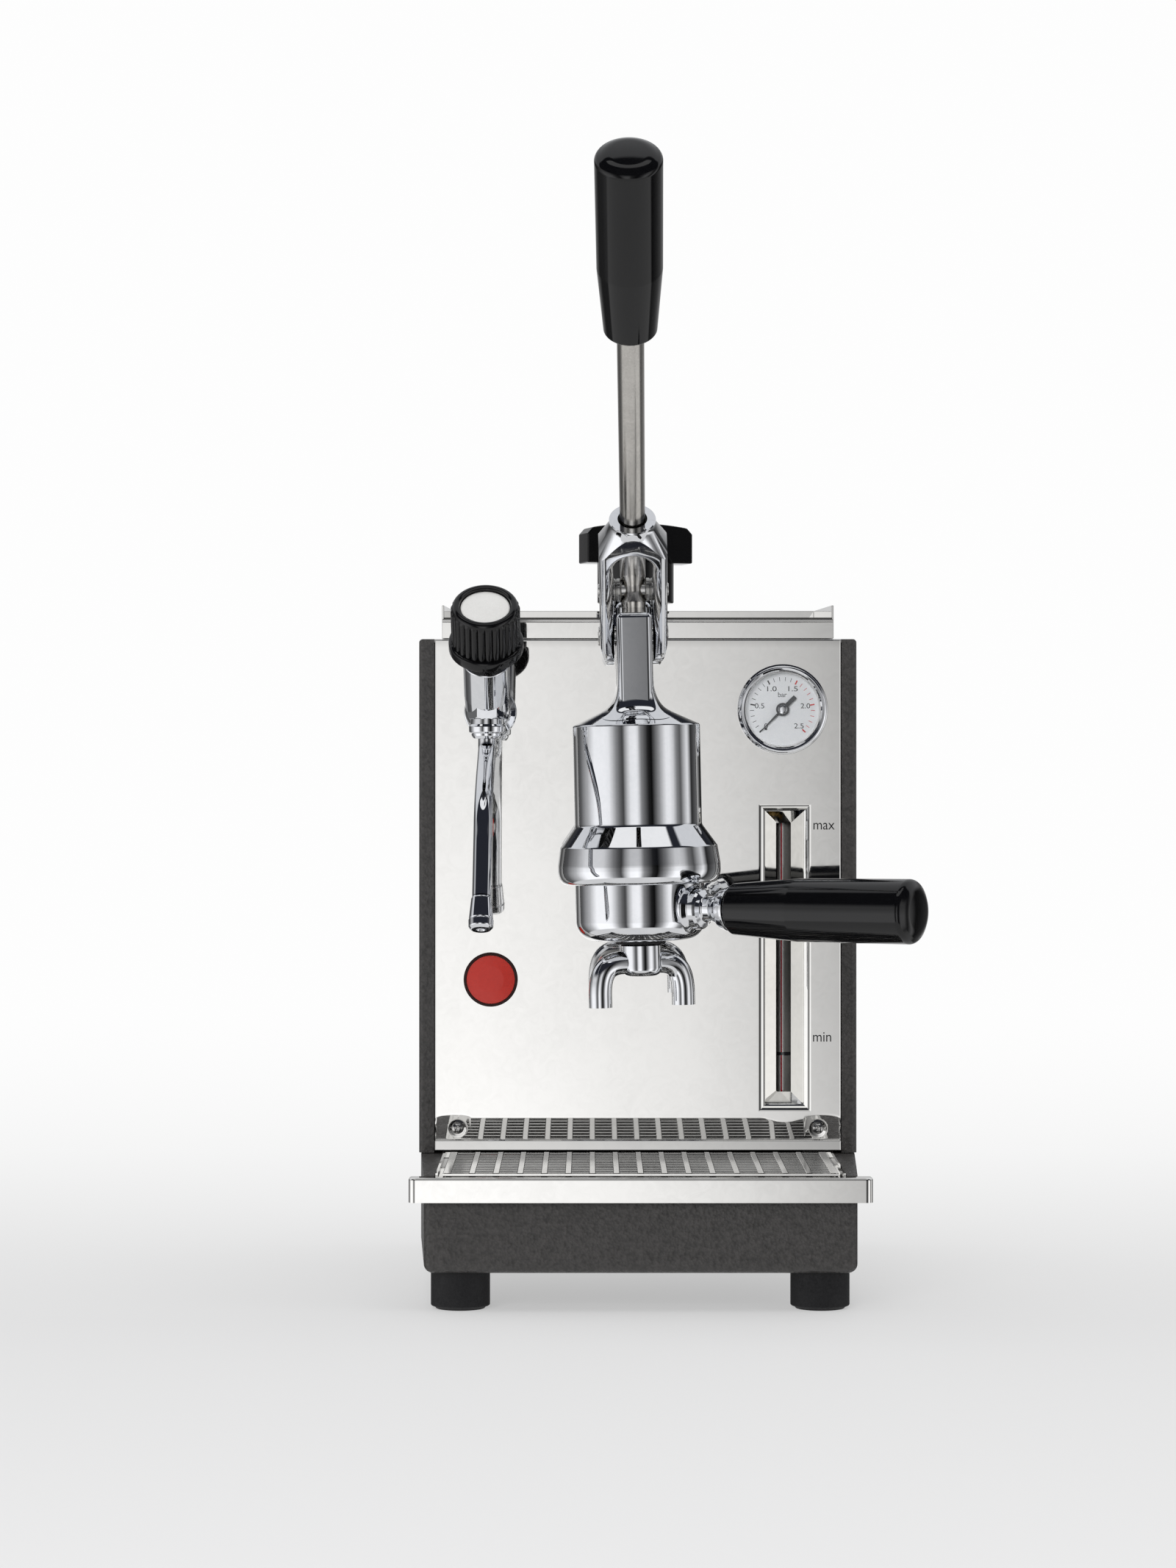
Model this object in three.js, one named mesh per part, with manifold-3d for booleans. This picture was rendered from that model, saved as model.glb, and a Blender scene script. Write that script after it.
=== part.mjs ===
// Lever espresso machine: a piston worked by a lever, fed by a boiler behind a polished front panel.
// Millimetres. X runs to the right, Y to the back, Z up. While it is built, Y is 0 at the front panel's
// face and Z is 0 at the table. The last lines move the origin to the middle of the machine's footprint.
import * as THREE from "three";
import { mergeVertices } from "three/addons/utils/BufferGeometryUtils.js";
import Module from "manifold-3d";

const wasm = await Module();
wasm.setup();

// Clearances
const seatGap = 0.3; // between pieces that bear on each other
const turnGap = 0.3; // round what turns or slides
const overrun = 6; // how far a cut runs past the face it opens

// Base pan and feet
const footHeight = 17;
const footRadius = 13;
const footRound = 1.5;
const footSideInset = 20.7; // from the pan's side to a foot's axis
const footInset = 19; // from the pan's front or back to a foot's axis
const panInset = 1; // the pan's sides stand this far inside the housing's
const panNoseInset = 5.5; // the pan's front face is narrower by this on each side
const panReach = 103.5; // from the front panel to the pan's front face
const panHeight = 42.1;
const panWall = 1.5;
const panCorner = 4.5;
const panBottomRound = 4;
const panNoseDrop = 3.2; // the front wall stops short under the tray's lip
const bulkheadSetback = 1.5; // between the panel and the wall that closes the tray's bay
const tabWidth = 14;
const tabHeight = 19;

// Housing and front panel
const housingWidth = 200;
const housingDepth = 162;
const housingHeight = 234.6;
const housingWall = 1.5;
const housingFlange = 7; // the strips that show beside the panel
const housingBend = 3;
const panelThickness = 1.2;
const panelFoot = 61.7; // height of the panel's lower edge
const panelFootLip = 3.6;
const panelLipDepth = 1.5;
const panelReturn = 9; // the side edges are folded back by this
const topPlateThickness = 1.5;

// Screws that hold the panel
const screwInset = 10.4; // from the panel's side to a screw
const screwHeight = 70.5;
const screwHeadRadius = 2.9;
const screwHeadHeight = 1.6;
const screwRadius = 1.6;
const screwLength = 5;

// Cup tray
const cupTrayInset = 10.4; // from the housing's side to the cup tray's
const cupTrayFront = 3;
const cupTrayDepth = 147;
const cupTrayWall = 1;
const cupTrayFrontHeight = 8.7;
const cupTraySideHeight = 15.2; // at the front end of the side walls
const cupTrayBackHeight = 18.4;
const cupTrayHem = 1.4;
const cupTrayHemHeight = 1.6;

// Drip tray and its grille
const trayInset = 10.4; // from the pan's side to the tray's
const trayWall = 1;
const trayDrop = 35; // from the grille's seat to the tray's underside
const traySetback = 4; // from the panel to the tray's back wall
const trayFrontGap = 0.5; // between the tray and the inside of the pan's front wall
const traySideGap = 0.4; // between the tray and the pan's flanges
const lipReach = 108; // from the panel to the lip's front face
const lipHeight = 10.8;
const lipWall = 1;
const lipTop = 58.9;
const lipReturn = 4; // the lip's ends are folded back by this
const grilleInset = 3.2; // from the tray's side to the grille's
const grilleFront = 102.6; // from the panel to the grille's front edge
const grilleBack = 7;
const grilleThickness = 1.2;
const grilleColumns = 16;
const grilleRows = 4;
const slotBar = 2.8; // between two columns of slots
const slotLength = 19;
const slotMargin = 3.6; // from the grille's side to its first column of slots
const slotRowPitch = 22.6;

// Boiler
const boilerRadius = 58;
const boilerAxis = 92; // from the panel to the boiler's axis
const boilerFoot = 70;
const boilerTop = 280;
const boilerWall = 1.6;
const boilerShoulder = 12;
const neckRadius = 14;
const neckBore = 11;
const neckTop = 324.5;
const standRadius = 50;
const standFlange = 5;
const standWall = 1.5;
const capSkirtRadius = 18.3;
const capSkirtFoot = 314;
const capSkirtRound = 1;
const capWingFoot = 333;
const capWingTop = 352;
const capWingSpan = 52;
const capWingThickness = 17;
const capWingChamfer = 5;
const capTurned = 15; // degrees that the wings stand off the machine's width
const capGasketHeight = 1.8;
const elementRadius = 4;
const elementSpread = 46;
const elementLength = 120;
const elementFlangeRadius = 24;
const elementFlangeThickness = 4;
const elementHead = 7;
const valveSeatOffset = 32; // safety valve's axis from the boiler's axis
const safetyRadius = 7;
const safetyHeight = 10;
const pressurestatWidth = 26;
const pressurestatDepth = 26;
const pressurestatHeight = 42;
const pressurestatMiddle = 200;
const pressurestatPipe = 4;
const pressurestatGap = 2; // from the insides of the housing's side and back

// Pressure gauge
const gaugeInset = 33.8; // from the housing's side to the gauge's axis
const gaugeHeight = 262.2;
const caseRadius = 18;
const caseDepth = 24;
const caseRim = 3.9; // how far the case stands out of the panel
const caseWall = 0.8;
const bezelRadius = 20.6;
const bezelHeight = 6.5;
const bezelLip = 1;
const bezelInner = 17.3;
const lensThickness = 1.1;
const dialThickness = 0.8;
const needleLength = 14;
const needleTail = 8.2;
const needleHub = 3;
const needleThickness = 0.6;
const needleLift = 0.8; // over the dial
const needleTailWidth = 1.9;
const needlePin = 0.8;
const needlePinLength = 2.4;
const needleZero = 225; // degrees from the right, counterclockwise
const gaugePipeRadius = 1.6;

// Sight glass and the recess it shows through
const sightInset = 33.6; // from the housing's side to the glass's axis
const recessWidth = 21.8;
const recessFoot = 78.9;
const recessTop = 217.8;
const recessDepth = 9;
const windowWidth = 6;
const windowFoot = 86;
const windowTop = 210.5;
const sightGlassRadius = 4.6;
const sightGlassBore = 3.2;
const sightSocketRadius = 6.4;
const sightSocketLength = 17;
const sightSocketDepth = 12;
const sightArmRadius = 4;

// Badge
const badgeInset = 32.8; // from the housing's side to the badge's axis
const badgeHeight = 138.5;
const badgeRadius = 12.35;
const badgeThickness = 1.4;
const badgeRim = 0.7;
const badgeSink = 0.8; // the face's depth below the rim

// Steam valve, knob and wand
const steamInset = 32.7; // from the housing's side to the valve's axis
const steamReach = 52; // from the panel to the point where the valve's passages meet
const steamHeight = 260.6;
const steamTilt = 43; // degrees that the knob's axis leans forward from upright
const steamBodyRadius = 9.3;
const steamBonnetLength = 30;
const steamBonnetRound = 1;
const steamFootShare = 0.9; // the bonnet's foot, of the body's radius
const steamGlandRadius = 7;
const steamGlandLength = 5;
const steamInletRadius = 7.5;
const steamRosetteRadius = 12;
const steamRosetteThickness = 3;
const steamTail = 14; // how far the inlet runs on behind the panel
const steamPipeRadius = 4;
const steamPipeMeets = 200; // degrees round the boiler from its right side
const spindleRadius = 3;
const spindleSunk = 8;
const knobStart = 36.6;
const knobLength = 25.2;
const knobRadius = 15.15;
const knobSkirtRadius = 16.4;
const knobSkirt = 5;
const knobFluteDepth = 0.9;
const knobFlutes = 28;
const knobBore = 12;
const knobCrown = 2;
const discRadius = 10.7;
const discThickness = 0.8;
const discSunk = 1.5; // below the knob's crown
const wandReach = 58; // from the panel to the wand's swivel axis
const hexRadius = 9.6;
const hexHeight = 10;
const hexFoot = 257;
const wandNutRadius = 8.9;
const wandNutFoot = 248;
const wandRadius = 4.05;
const wandGap = 0.7; // round the wand where it swivels
const wandTurn = 1.6; // degrees that the wand stands off to the left of straight forward
const wandLead = 47; // how far the wand's tip stands in front of its swivel
const wandTipTop = 179.5;
const wandTipFoot = 164.6;
const wandLean = 21; // degrees that the wand's lower end and its tip lean forward
const wandTipRadius = 5.25;
const wandTipBore = 2;
const wandTipBoreDepth = 3;

// Group: the brewing cylinder and the tower that guides the lever
const groupOffset = -0.95;
const groupReach = 55; // from the panel to the group's axis
const groupLean = 1.25; // degrees that the group and its lever lean to the left
const collarRadius = 36.1;
const collarFoot = 184;
const collarTop = 201;
const collarRound = 4;
const barrelRadius = 28.25;
const barrelFoot = 209;
const barrelTop = 254;
const domeTop = 262.5;
const domeInner = 9.5;
const pistonBore = 24.6;
const pistonBoreTop = 248;
const pistonConeTop = 253.6;
const pistonConeRadius = 12;
const lockFloor = 187.6; // top of the ledges that carry the portafilter's ears
const lockRadius = 33;
const lockTop = 198.9;
const mouthRadius = 29.2;
const noseRadius = 27.3; // ring between the gasket and the screen
const noseFoot = 195.2;
const screenSeat = 25.8;
const towerWidth = 15.1;
const towerFront = 15; // in front of the group's axis
const towerBack = 39;
const towerTop = 303.7;
const saddleHeight = 283;
const saddleFront = 7.4;
const saddleBack = 6.6;
const lugTop = 309;
const lugFoot = 279;
const towerFoot = 256;
const towerHeel = 24;
const towerRound = 3;
const rodRadius = 5.25;
const groupNeckRadius = 17;
const groupNeckHeight = 231;
const groupFlangeRadius = 24;
const groupFlangeThickness = 6;
const groupPort = 4;
const groupNeckEnd = 31; // behind the panel

// Group gasket, screen, piston
const gasketHeight = 4.6;
const screenThickness = 0.9;
const screenHeight = 3.4;
const screenHoleRadius = 1;
const screenHoles = 6;
const pistonFoot = 226;
const pistonSkirt = 10.5;
const pistonCone = 5.2;
const pistonGap = 0.4;
const sealHeight = 2.4;
const sealDepth = 2;
const sealStandout = 0.2;
const rodFoot = 230;
const rodTipRadius = 4;
const rodTop = 327;
const rodRound = 1.2;
const rodWaist = 4.5;

// Lever linkage
const leverPinHeight = 314; // the pin through the rod, lever as photographed
const leverLean = 45; // degrees that the lever leans forward from upright
const leverRise = 26; // millimetres that the rod moves for a radian of lever
const leverUp = 25; // degrees
const leverDown = 55; // degrees
const pinRadius = 3;
const pinBoss = 4.35;
const fulcrumBack = 24; // the fixed pin's place behind the rod's pin
const fulcrumDrop = 18; // and below it
const camSteps = 10;
const camGap = 0.35;
const forkWidth = 30;
const forkOpening = 17.2;
const forkArchCentre = 15;
const forkFulcrumRadius = 13.2;
const forkPinRadius = 10.5;
const forkSocketRadius = 10.25;
const forkSocketTop = 42;
const forkSocketFoot = 33;
const forkShoulder = 12;
const forkShoulderRadius = 18.6;
const forkBoreDepth = 12;
const pinStandout = 0.7;
const leverRodRadius = 5.5;
const leverRodTopRadius = 5.8;
const leverRodSunk = 16;

// Grips: the lever and the portafilter have the same one
const gripStart = 146.8; // along the lever from the rod's pin
const gripLength = 92;
const gripFootRadius = 11.25;
const gripRadius = 13.75;
const gripKnee = 33;
const gripBead = 14.1;
const gripBeadLength = 4;
const gripEnd = 5;
const gripRound = 1.6;
const gripDomeShare = 0.6; // radius of the dome's last edge, of the bead's

// Portafilter
const handleTurn = 33; // degrees that the handle points forward of straight right
const handleHeight = 173.5;
const bowlRadius = 28.65;
const bowlFoot = 159;
const bowlTop = 192.4;
const bowlRound = 9.5;
const bowlWall = 2.2;
const bowlFloor = 163;
const bowlDrain = 4;
const earRadius = 32.4;
const earHeight = 4.4;
const earSweep = 34; // degrees
const earPlace = 20; // degrees from the handle
const lockTurn = 70; // degrees from locked to released
const earGap = 2.5; // degrees on each side of an ear in its entry slot
const handleBoss = 9;
const handleBossEnd = 33;
const handleWaist = 5.6;
const handleFlare = 9.8;
const handleFlareStart = 39;
const handleFlareEnd = 47.5;
const handleEdge = 1; // width of the bevels at the waist and at the flare's rim
const handleStud = 4;
const handleStudLength = 16;
const handleGripStart = 48.5;
const basketRadius = 25.9;
const basketWall = 0.7;
const basketRim = 30;
const basketRimThickness = 0.9;
const basketFoot = 168.5;
const basketHoleRadius = 1;
const basketHoles = 6;

// Spout
const spoutGasketRadius = 11;
const spoutGasketTop = 158.7;
const spoutGasketHeight = 1.5;
const spoutRadius = 9.15;
const spoutTop = 156.9;
const spoutFoot = 143;
const spoutTubeRadius = 5.15;
const spoutTubeBore = 3.7;
const spoutSpan = 19.4; // half the distance between the two outlets
const spoutEnd = 129.6;
const spoutCrown = 150;
const spoutJoint = 0.1; // overlap of a tube's bend and its straight end
const spoutBendShare = 0.75; // how far out the tube's bend is pulled, of its reach
const spoutSagShare = 0.4; // how far it drops there, of the tube's radius
const spoutTurn = 18; // degrees that the outlets stand off the machine's width

// Switch and mains inlet on the back
const fittingInset = 23; // from the housing's side to the switch's and the inlet's middle
const switchHeight = 130;
const switchWidth = 21;
const switchTall = 30;
const switchFlange = 2;
const switchDepth = 16;
const switchWall = 2;
const rockerTilt = 8; // degrees
const rockerDepth = 9;
const rockerFaceShare = 0.96; // half height of the rocker's face, of its half height
const inletHeight = 88;
const inletWidth = 30;
const inletTall = 24;
const inletFlange = 4;
const inletFlangeThickness = 2.5;
const inletDepth = 22;
const inletWall = 2.6;
const inletCavity = 16.5;
const inletPinWidth = 2;
const inletPinHeight = 4.4;
const inletPinLength = 10;
const inletPinSpread = 7;
const inletPinRise = 3.6;

// Numbers of flat sides on round shapes
const wideSides = 24;
const middleSides = 18;
const smallSides = 10;
const fineSides = 8;
const cornerSteps = 2;

// Heights and places that follow from the sizes above
const panTop = footHeight + panHeight;
const panWidth = housingWidth - 2 * panInset;
const panNoseWidth = panWidth - 2 * panNoseInset;
const footSpread = panWidth - 2 * footSideInset;
const trayWidth = panWidth - 2 * trayInset;
const lipWidth = housingWidth;
const grilleWidth = trayWidth - 2 * grilleInset;
const slotColumnPitch = (grilleWidth - 2 * slotMargin + slotBar) / grilleColumns;
const slotWidth = slotColumnPitch - slotBar;
const cupTrayWidth = housingWidth - 2 * cupTrayInset;
const gaugeOffset = housingWidth / 2 - gaugeInset;
const sightOffset = housingWidth / 2 - sightInset;
const badgeOffset = badgeInset - housingWidth / 2;
const steamOffset = steamInset - housingWidth / 2;
const fittingOffset = housingWidth / 2 - fittingInset;
const housingFoot = panTop + seatGap;
const housingTop = housingFoot + housingHeight;
const panelWidth = housingWidth - 2 * (housingFlange + seatGap);
const screwSpread = panelWidth - 2 * screwInset;
const topPlateFoot = housingTop - topPlateThickness;
const panelTop = topPlateFoot - seatGap;
const cupTrayFoot = housingTop + seatGap;
const panFloor = footHeight + panWall;
const trayRim = lipTop;
const trayFoot = trayRim - trayDrop;
const grilleFoot = trayRim + seatGap;
const capGasketFoot = neckTop + seatGap;
const capCeiling = capGasketFoot + capGasketHeight + seatGap;

// One machine's finishes, as colour, roughness and metalness
const finishes = {
  paint: [0x3d3e40, 0.62, 0.1],
  chrome: [0xd9dce0, 0.06, 1],
  mirror: [0xe3e4e4, 0.04, 1],
  steel: [0xb9bbbd, 0.28, 1],
  bakelite: [0x0b0b0c, 0.16, 0],
  rubber: [0x141415, 0.75, 0],
  brass: [0xb08d4a, 0.3, 1],
  enamel: [0xa8221c, 0.25, 0],
  dial: [0xf2f1ec, 0.5, 0],
  ink: [0x2b2d30, 0.5, 0],
  glass: [0xe8f0f0, 0.03, 0],
  satin: [0xc9cacb, 0.4, 1],
  plastic: [0x17181a, 0.45, 0],
};

const degrees = THREE.MathUtils.degToRad;
const spread = (width) => [-width / 2, width / 2];

// A geometry as a solid that can be joined or cut.
function solidOf(geometry) {
  const bare = new THREE.BufferGeometry();
  bare.setAttribute("position", geometry.getAttribute("position"));
  bare.setIndex(geometry.getIndex());
  const merged = mergeVertices(bare);
  const corners = Array.from(merged.index.array);
  const faces = [];
  for (let i = 0; i < corners.length; i += 3) {
    const [a, b, c] = corners.slice(i, i + 3);
    if (a !== b && b !== c && c !== a) faces.push(a, b, c);
  }
  const vertProperties = new Float32Array(merged.getAttribute("position").array);
  return new wasm.Manifold(new wasm.Mesh({ numProp: 3, vertProperties, triVerts: new Uint32Array(faces) }));
}

function geometryOf(solid) {
  const mesh = solid.getMesh();
  const geometry = new THREE.BufferGeometry();
  geometry.setAttribute("position", new THREE.BufferAttribute(mesh.vertProperties, 3));
  geometry.setIndex(new THREE.BufferAttribute(mesh.triVerts, 1));
  return geometry;
}

function join(first, ...others) {
  return geometryOf(others.reduce((whole, next) => whole.add(solidOf(next)), solidOf(first)));
}

function cut(first, ...tools) {
  return geometryOf(tools.reduce((whole, tool) => whole.subtract(solidOf(tool)), solidOf(first)));
}

function common(first, ...others) {
  return geometryOf(others.reduce((whole, next) => whole.intersect(solidOf(next)), solidOf(first)));
}

function block([x0, x1], [y0, y1], [z0, z1]) {
  const box = new THREE.BoxGeometry(x1 - x0, y1 - y0, z1 - z0);
  return box.translate((x0 + x1) / 2, (y0 + y1) / 2, (z0 + z1) / 2);
}

// An outline through corners [x, y, radius], with each corner that has a radius turned into an arc.
function rounded(corners, steps = cornerSteps) {
  const count = corners.length;
  const place = (i) => new THREE.Vector2(...corners[(i + count) % count].slice(0, 2));
  const points = [];
  corners.forEach(([, , radius = 0], i) => {
    const here = place(i);
    if (radius === 0) {
      points.push(here);
      return;
    }
    const back = place(i - 1).sub(here).normalize();
    const ahead = place(i + 1).sub(here).normalize();
    const half = Math.acos(back.dot(ahead)) / 2;
    const centre = back.clone().add(ahead).normalize().multiplyScalar(radius / Math.sin(half)).add(here);
    const from = back.multiplyScalar(radius / Math.tan(half)).add(here).sub(centre);
    const to = ahead.multiplyScalar(radius / Math.tan(half)).add(here).sub(centre);
    const start = from.angle();
    const sweep = Math.atan2(from.cross(to), from.dot(to));
    for (let step = 0; step <= steps; step += 1) {
      const angle = start + (sweep * step) / steps;
      points.push(new THREE.Vector2(Math.cos(angle), Math.sin(angle)).multiplyScalar(radius).add(centre));
    }
  });
  return points;
}

// A profile of corners [radius, height, rounding] turned round Z. Its ends lie on the axis, or it is a ring.
function turned(corners, sides = middleSides, steps = cornerSteps) {
  const points = rounded(corners, steps);
  if (THREE.ShapeUtils.isClockWise(points)) points.reverse();
  const onAxis = points[0].x === 0 && points[points.length - 1].x === 0;
  if (!onAxis) points.push(points[0].clone());
  return new THREE.LatheGeometry(points, sides).rotateX(Math.PI / 2);
}

const rod = (radius, [z0, z1], sides = middleSides) => turned([[0, z0], [radius, z0], [radius, z1],
  [0, z1]], sides);

function ring(inner, outer, [z0, z1], sides = middleSides) {
  return turned([[inner, z0], [outer, z0], [outer, z1], [inner, z1]], sides);
}

// An outline in X and Y raised from z0 to z1.
function prism(points, [z0, z1]) {
  return new THREE.ExtrudeGeometry(new THREE.Shape(points),
    { depth: z1 - z0, bevelEnabled: false }).translate(0, 0, z0);
}

// An outline in Y and Z drawn out along X.
function sideways(points, [x0, x1]) {
  return prism(points, [x0, x1]).rotateY(Math.PI / 2).rotateX(Math.PI / 2);
}

function circle(radius, sides) {
  const points = [];
  for (let i = 0; i < sides; i += 1) {
    const angle = (2 * Math.PI * i) / sides;
    points.push(new THREE.Vector2(Math.cos(angle), Math.sin(angle)).multiplyScalar(radius));
  }
  return points;
}

// A round bar along a curve.
function bar(radius, curve, steps, sides = fineSides) {
  const section = new THREE.Shape(circle(radius, sides));
  return new THREE.ExtrudeGeometry(section, { steps, extrudePath: curve, bevelEnabled: false });
}

// The outline of a belt laid round two circles, in the plane of the two coordinates given.
function belt([ax, ay, ar], [bx, by, br], steps = fineSides) {
  const along = new THREE.Vector2(bx - ax, by - ay);
  const lean = Math.acos((ar - br) / along.length());
  const heading = along.angle();
  const points = [];
  for (const [cx, cy, radius, from, to] of [
    [bx, by, br, heading - lean, heading + lean],
    [ax, ay, ar, heading + lean, heading - lean + 2 * Math.PI],
  ]) {
    for (let step = 0; step <= steps; step += 1) {
      const angle = from + ((to - from) * step) / steps;
      points.push(new THREE.Vector2(cx + radius * Math.cos(angle), cy + radius * Math.sin(angle)));
    }
  }
  return points;
}

function piece(name, geometry, finish) {
  const [color, roughness, metalness] = finishes[finish];
  const material = new THREE.MeshStandardMaterial({ color, roughness, metalness });
  if (finish === "glass") {
    material.transparent = true;
    material.opacity = 0.35;
  }
  const mesh = new THREE.Mesh(geometry, material);
  mesh.name = name;
  return mesh;
}

function gathered(...members) {
  const group = new THREE.Group();
  group.add(...members);
  return group;
}

// The group's pieces, built upright on Z and then hung on the axis of the group's neck with its lean.
function hungOnNeck(...members) {
  const upright = gathered(...members);
  upright.position.z = -groupNeckHeight;
  const leaning = gathered(upright);
  leaning.position.set(groupOffset, -groupReach, groupNeckHeight);
  leaning.rotation.y = -degrees(groupLean);
  return leaning;
}

// Base pan: a tub with flanges along its sides, open above the drip tray, and a wall behind the tray.
function panOutline(inset) {
  const nose = panNoseWidth / 2 - inset;
  const side = panWidth / 2 - inset;
  const front = inset - panReach;
  const back = housingDepth - housingWall - inset;
  const radius = panCorner - inset;
  return rounded([
    [-nose, front, radius], [nose, front, radius], [side, 0], [side, back, radius], [-side, back, radius],
    [-side, 0],
  ]);
}

function panTub(inset, top) {
  const round = Math.min(panBottomRound, panCorner) - inset;
  const tub = new THREE.ExtrudeGeometry(new THREE.Shape(panOutline(inset)), {
    depth: panHeight, bevelThickness: round, bevelSize: round, bevelOffset: -round, bevelSegments: 2,
  }).translate(0, 0, footHeight + inset + round);
  return cut(tub, block(spread(panWidth + overrun), [-panReach - overrun, housingDepth + overrun],
    [top, top + panHeight]));
}

function basePan() {
  const bayFront = panWall - panReach;
  const lipCut = [-panReach - overrun, bayFront + trayFrontGap + trayWall];
  const opening = trayWidth + 2 * traySideGap;
  let pan = cut(
    panTub(0, panTop),
    panTub(panWall, panTop - panWall),
    block(spread(opening), [bayFront, housingDepth - footInset], [panTop - 2 * panWall, panTop + overrun]),
    block(spread(panWidth + overrun), lipCut, [panTop - panNoseDrop, panTop + overrun]),
  );
  const wallFace = panelThickness + bulkheadSetback;
  const wallBack = wallFace + panWall;
  pan = join(pan, block(spread(panWidth - panWall), [wallFace, wallBack],
    [footHeight + panWall / 2, panTop - panWall / 2]));
  for (const side of [-1, 1]) {
    const middle = (side * screwSpread) / 2;
    const across = [middle - tabWidth / 2, middle + tabWidth / 2];
    pan = join(pan, block(across, [wallFace, wallBack], [panTop - 2 * panWall, panTop + tabHeight]));
    const hole = rod(screwRadius + turnGap, [-overrun, overrun], smallSides).rotateX(Math.PI / 2);
    pan = cut(pan, hole.translate(middle, 0, screwHeight));
  }
  return piece("base_pan", pan, "paint");
}

function feet() {
  const foot = turned([[0, 0], [footRadius, 0, footRound], [footRadius, footHeight - seatGap],
    [0, footHeight - seatGap]], middleSides, 1);
  const rows = { front: footInset - panReach, back: housingDepth - housingWall - footInset };
  const made = [];
  for (const [row, y] of Object.entries(rows)) {
    for (const [side, x] of [["left", -footSpread / 2], ["right", footSpread / 2]]) {
      const mesh = piece(`foot_${row}_${side}`, foot.clone(), "rubber");
      mesh.position.set(x, y, 0);
      made.push(mesh);
    }
  }
  return made;
}

// Housing: one sheet bent round both sides and the back, with narrow strips turned in at the front.
function housingShell() {
  const half = housingWidth / 2;
  const inner = half - housingWall;
  const strip = half - housingFlange;
  const outerBend = housingBend;
  const innerBend = housingBend - housingWall;
  const sheetOutline = rounded([
    [-strip, 0], [-half, 0, innerBend], [-half, housingDepth, outerBend], [half, housingDepth, outerBend],
    [half, 0, innerBend], [strip, 0], [strip, housingWall], [inner, housingWall],
    [inner, housingDepth - housingWall, innerBend], [-inner, housingDepth - housingWall, innerBend],
    [-inner, housingWall], [-strip, housingWall],
  ]);
  const through = [housingDepth - housingWall - overrun, housingDepth + overrun];
  const opening = (x, z, width, tall) => block(
    [x - width / 2 - seatGap, x + width / 2 + seatGap], through,
    [z - tall / 2 - seatGap, z + tall / 2 + seatGap],
  );
  const shell = cut(
    prism(sheetOutline, [housingFoot, housingTop]),
    opening(fittingOffset, switchHeight, switchWidth, switchTall),
    opening(fittingOffset, inletHeight, inletWidth, inletTall),
  );
  return piece("housing_shell", shell, "paint");
}

// The recess in the front panel narrows towards the window that the sight glass shows through.
function recessCone(grow, front, back) {
  const at = (depth, wide, narrow) => THREE.MathUtils.lerp(wide, narrow, depth / recessDepth);
  const section = (depth) => {
    const half = at(depth, recessWidth / 2, windowWidth / 2) + grow;
    const foot = at(depth, recessFoot, windowFoot) - grow;
    const top = at(depth, recessTop, windowTop) + grow;
    return [half, foot, top];
  };
  const cone = new THREE.BoxGeometry(1, 1, 1);
  const place = cone.getAttribute("position");
  for (let i = 0; i < place.count; i += 1) {
    const depth = place.getY(i) < 0 ? front : back;
    const [half, foot, top] = section(depth);
    place.setXYZ(i, sightOffset + Math.sign(place.getX(i)) * half, depth, place.getZ(i) < 0 ? foot : top);
  }
  return cone;
}

function frontPanel() {
  const half = panelWidth / 2;
  const plate = block(spread(panelWidth), [0, panelThickness], [panelFoot, panelTop]);
  const lip = block(spread(panelWidth), [-panelLipDepth, panelThickness / 2],
    [panelFoot, panelFoot + panelFootLip]);
  const folds = [-1, 1].map((side) => block(
    side < 0 ? [-half, panelThickness - half] : [half - panelThickness, half],
    [panelThickness / 2, panelReturn],
    [screwHeight + tabHeight, panelTop],
  ));
  const hole = (radius, x, z, sides = middleSides) => rod(radius, [-overrun, overrun], sides)
    .rotateX(Math.PI / 2).translate(x, 0, z);
  const panel = cut(
    join(plate, lip, ...folds, recessCone(panelThickness, panelThickness / 2, recessDepth)),
    recessCone(0, -overrun / 2, recessDepth + overrun / 2),
    hole(caseRadius + seatGap, gaugeOffset, gaugeHeight),
    hole(groupNeckRadius + seatGap, groupOffset, groupNeckHeight),
    hole(steamInletRadius + seatGap, steamOffset, steamHeight),
    ...spread(screwSpread).map((x) => hole(screwRadius + turnGap, x, screwHeight, smallSides)),
  );
  return piece("front_panel", panel, "mirror");
}

function panelScrews() {
  const profile = [
    [0, -screwLength], [screwRadius, -screwLength], [screwRadius, seatGap],
    [screwHeadRadius, seatGap], [screwHeadRadius, seatGap + screwHeadHeight, screwHeadHeight / 2],
    [0, seatGap + screwHeadHeight],
  ];
  const slot = block(spread(screwHeadRadius), spread(screwRadius / 2),
    [screwHeadHeight / 2 + seatGap, overrun]);
  const screw = cut(turned(profile, smallSides, 2), slot, slot.clone().rotateZ(Math.PI / 2));
  return [["left", -1], ["right", 1]].map(([side, sign]) => {
    const mesh = piece(`panel_screw_${side}`, screw.clone(), "steel");
    mesh.position.set((sign * screwSpread) / 2, 0, screwHeight);
    mesh.rotation.x = Math.PI / 2;
    return mesh;
  });
}

function topPlate() {
  const width = housingWidth - 2 * (housingWall + seatGap);
  const [front, back] = [housingWall + seatGap, housingDepth - housingWall - seatGap];
  const plate = prism(rounded([
    [-width / 2, front], [width / 2, front], [width / 2, back, housingBend],
    [-width / 2, back, housingBend],
  ]), [topPlateFoot, housingTop]);
  const opening = rod(neckRadius + seatGap, [topPlateFoot - overrun, housingTop + overrun]).translate(0,
    boilerAxis, 0);
  return piece("top_plate", cut(plate, opening), "steel");
}

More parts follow.
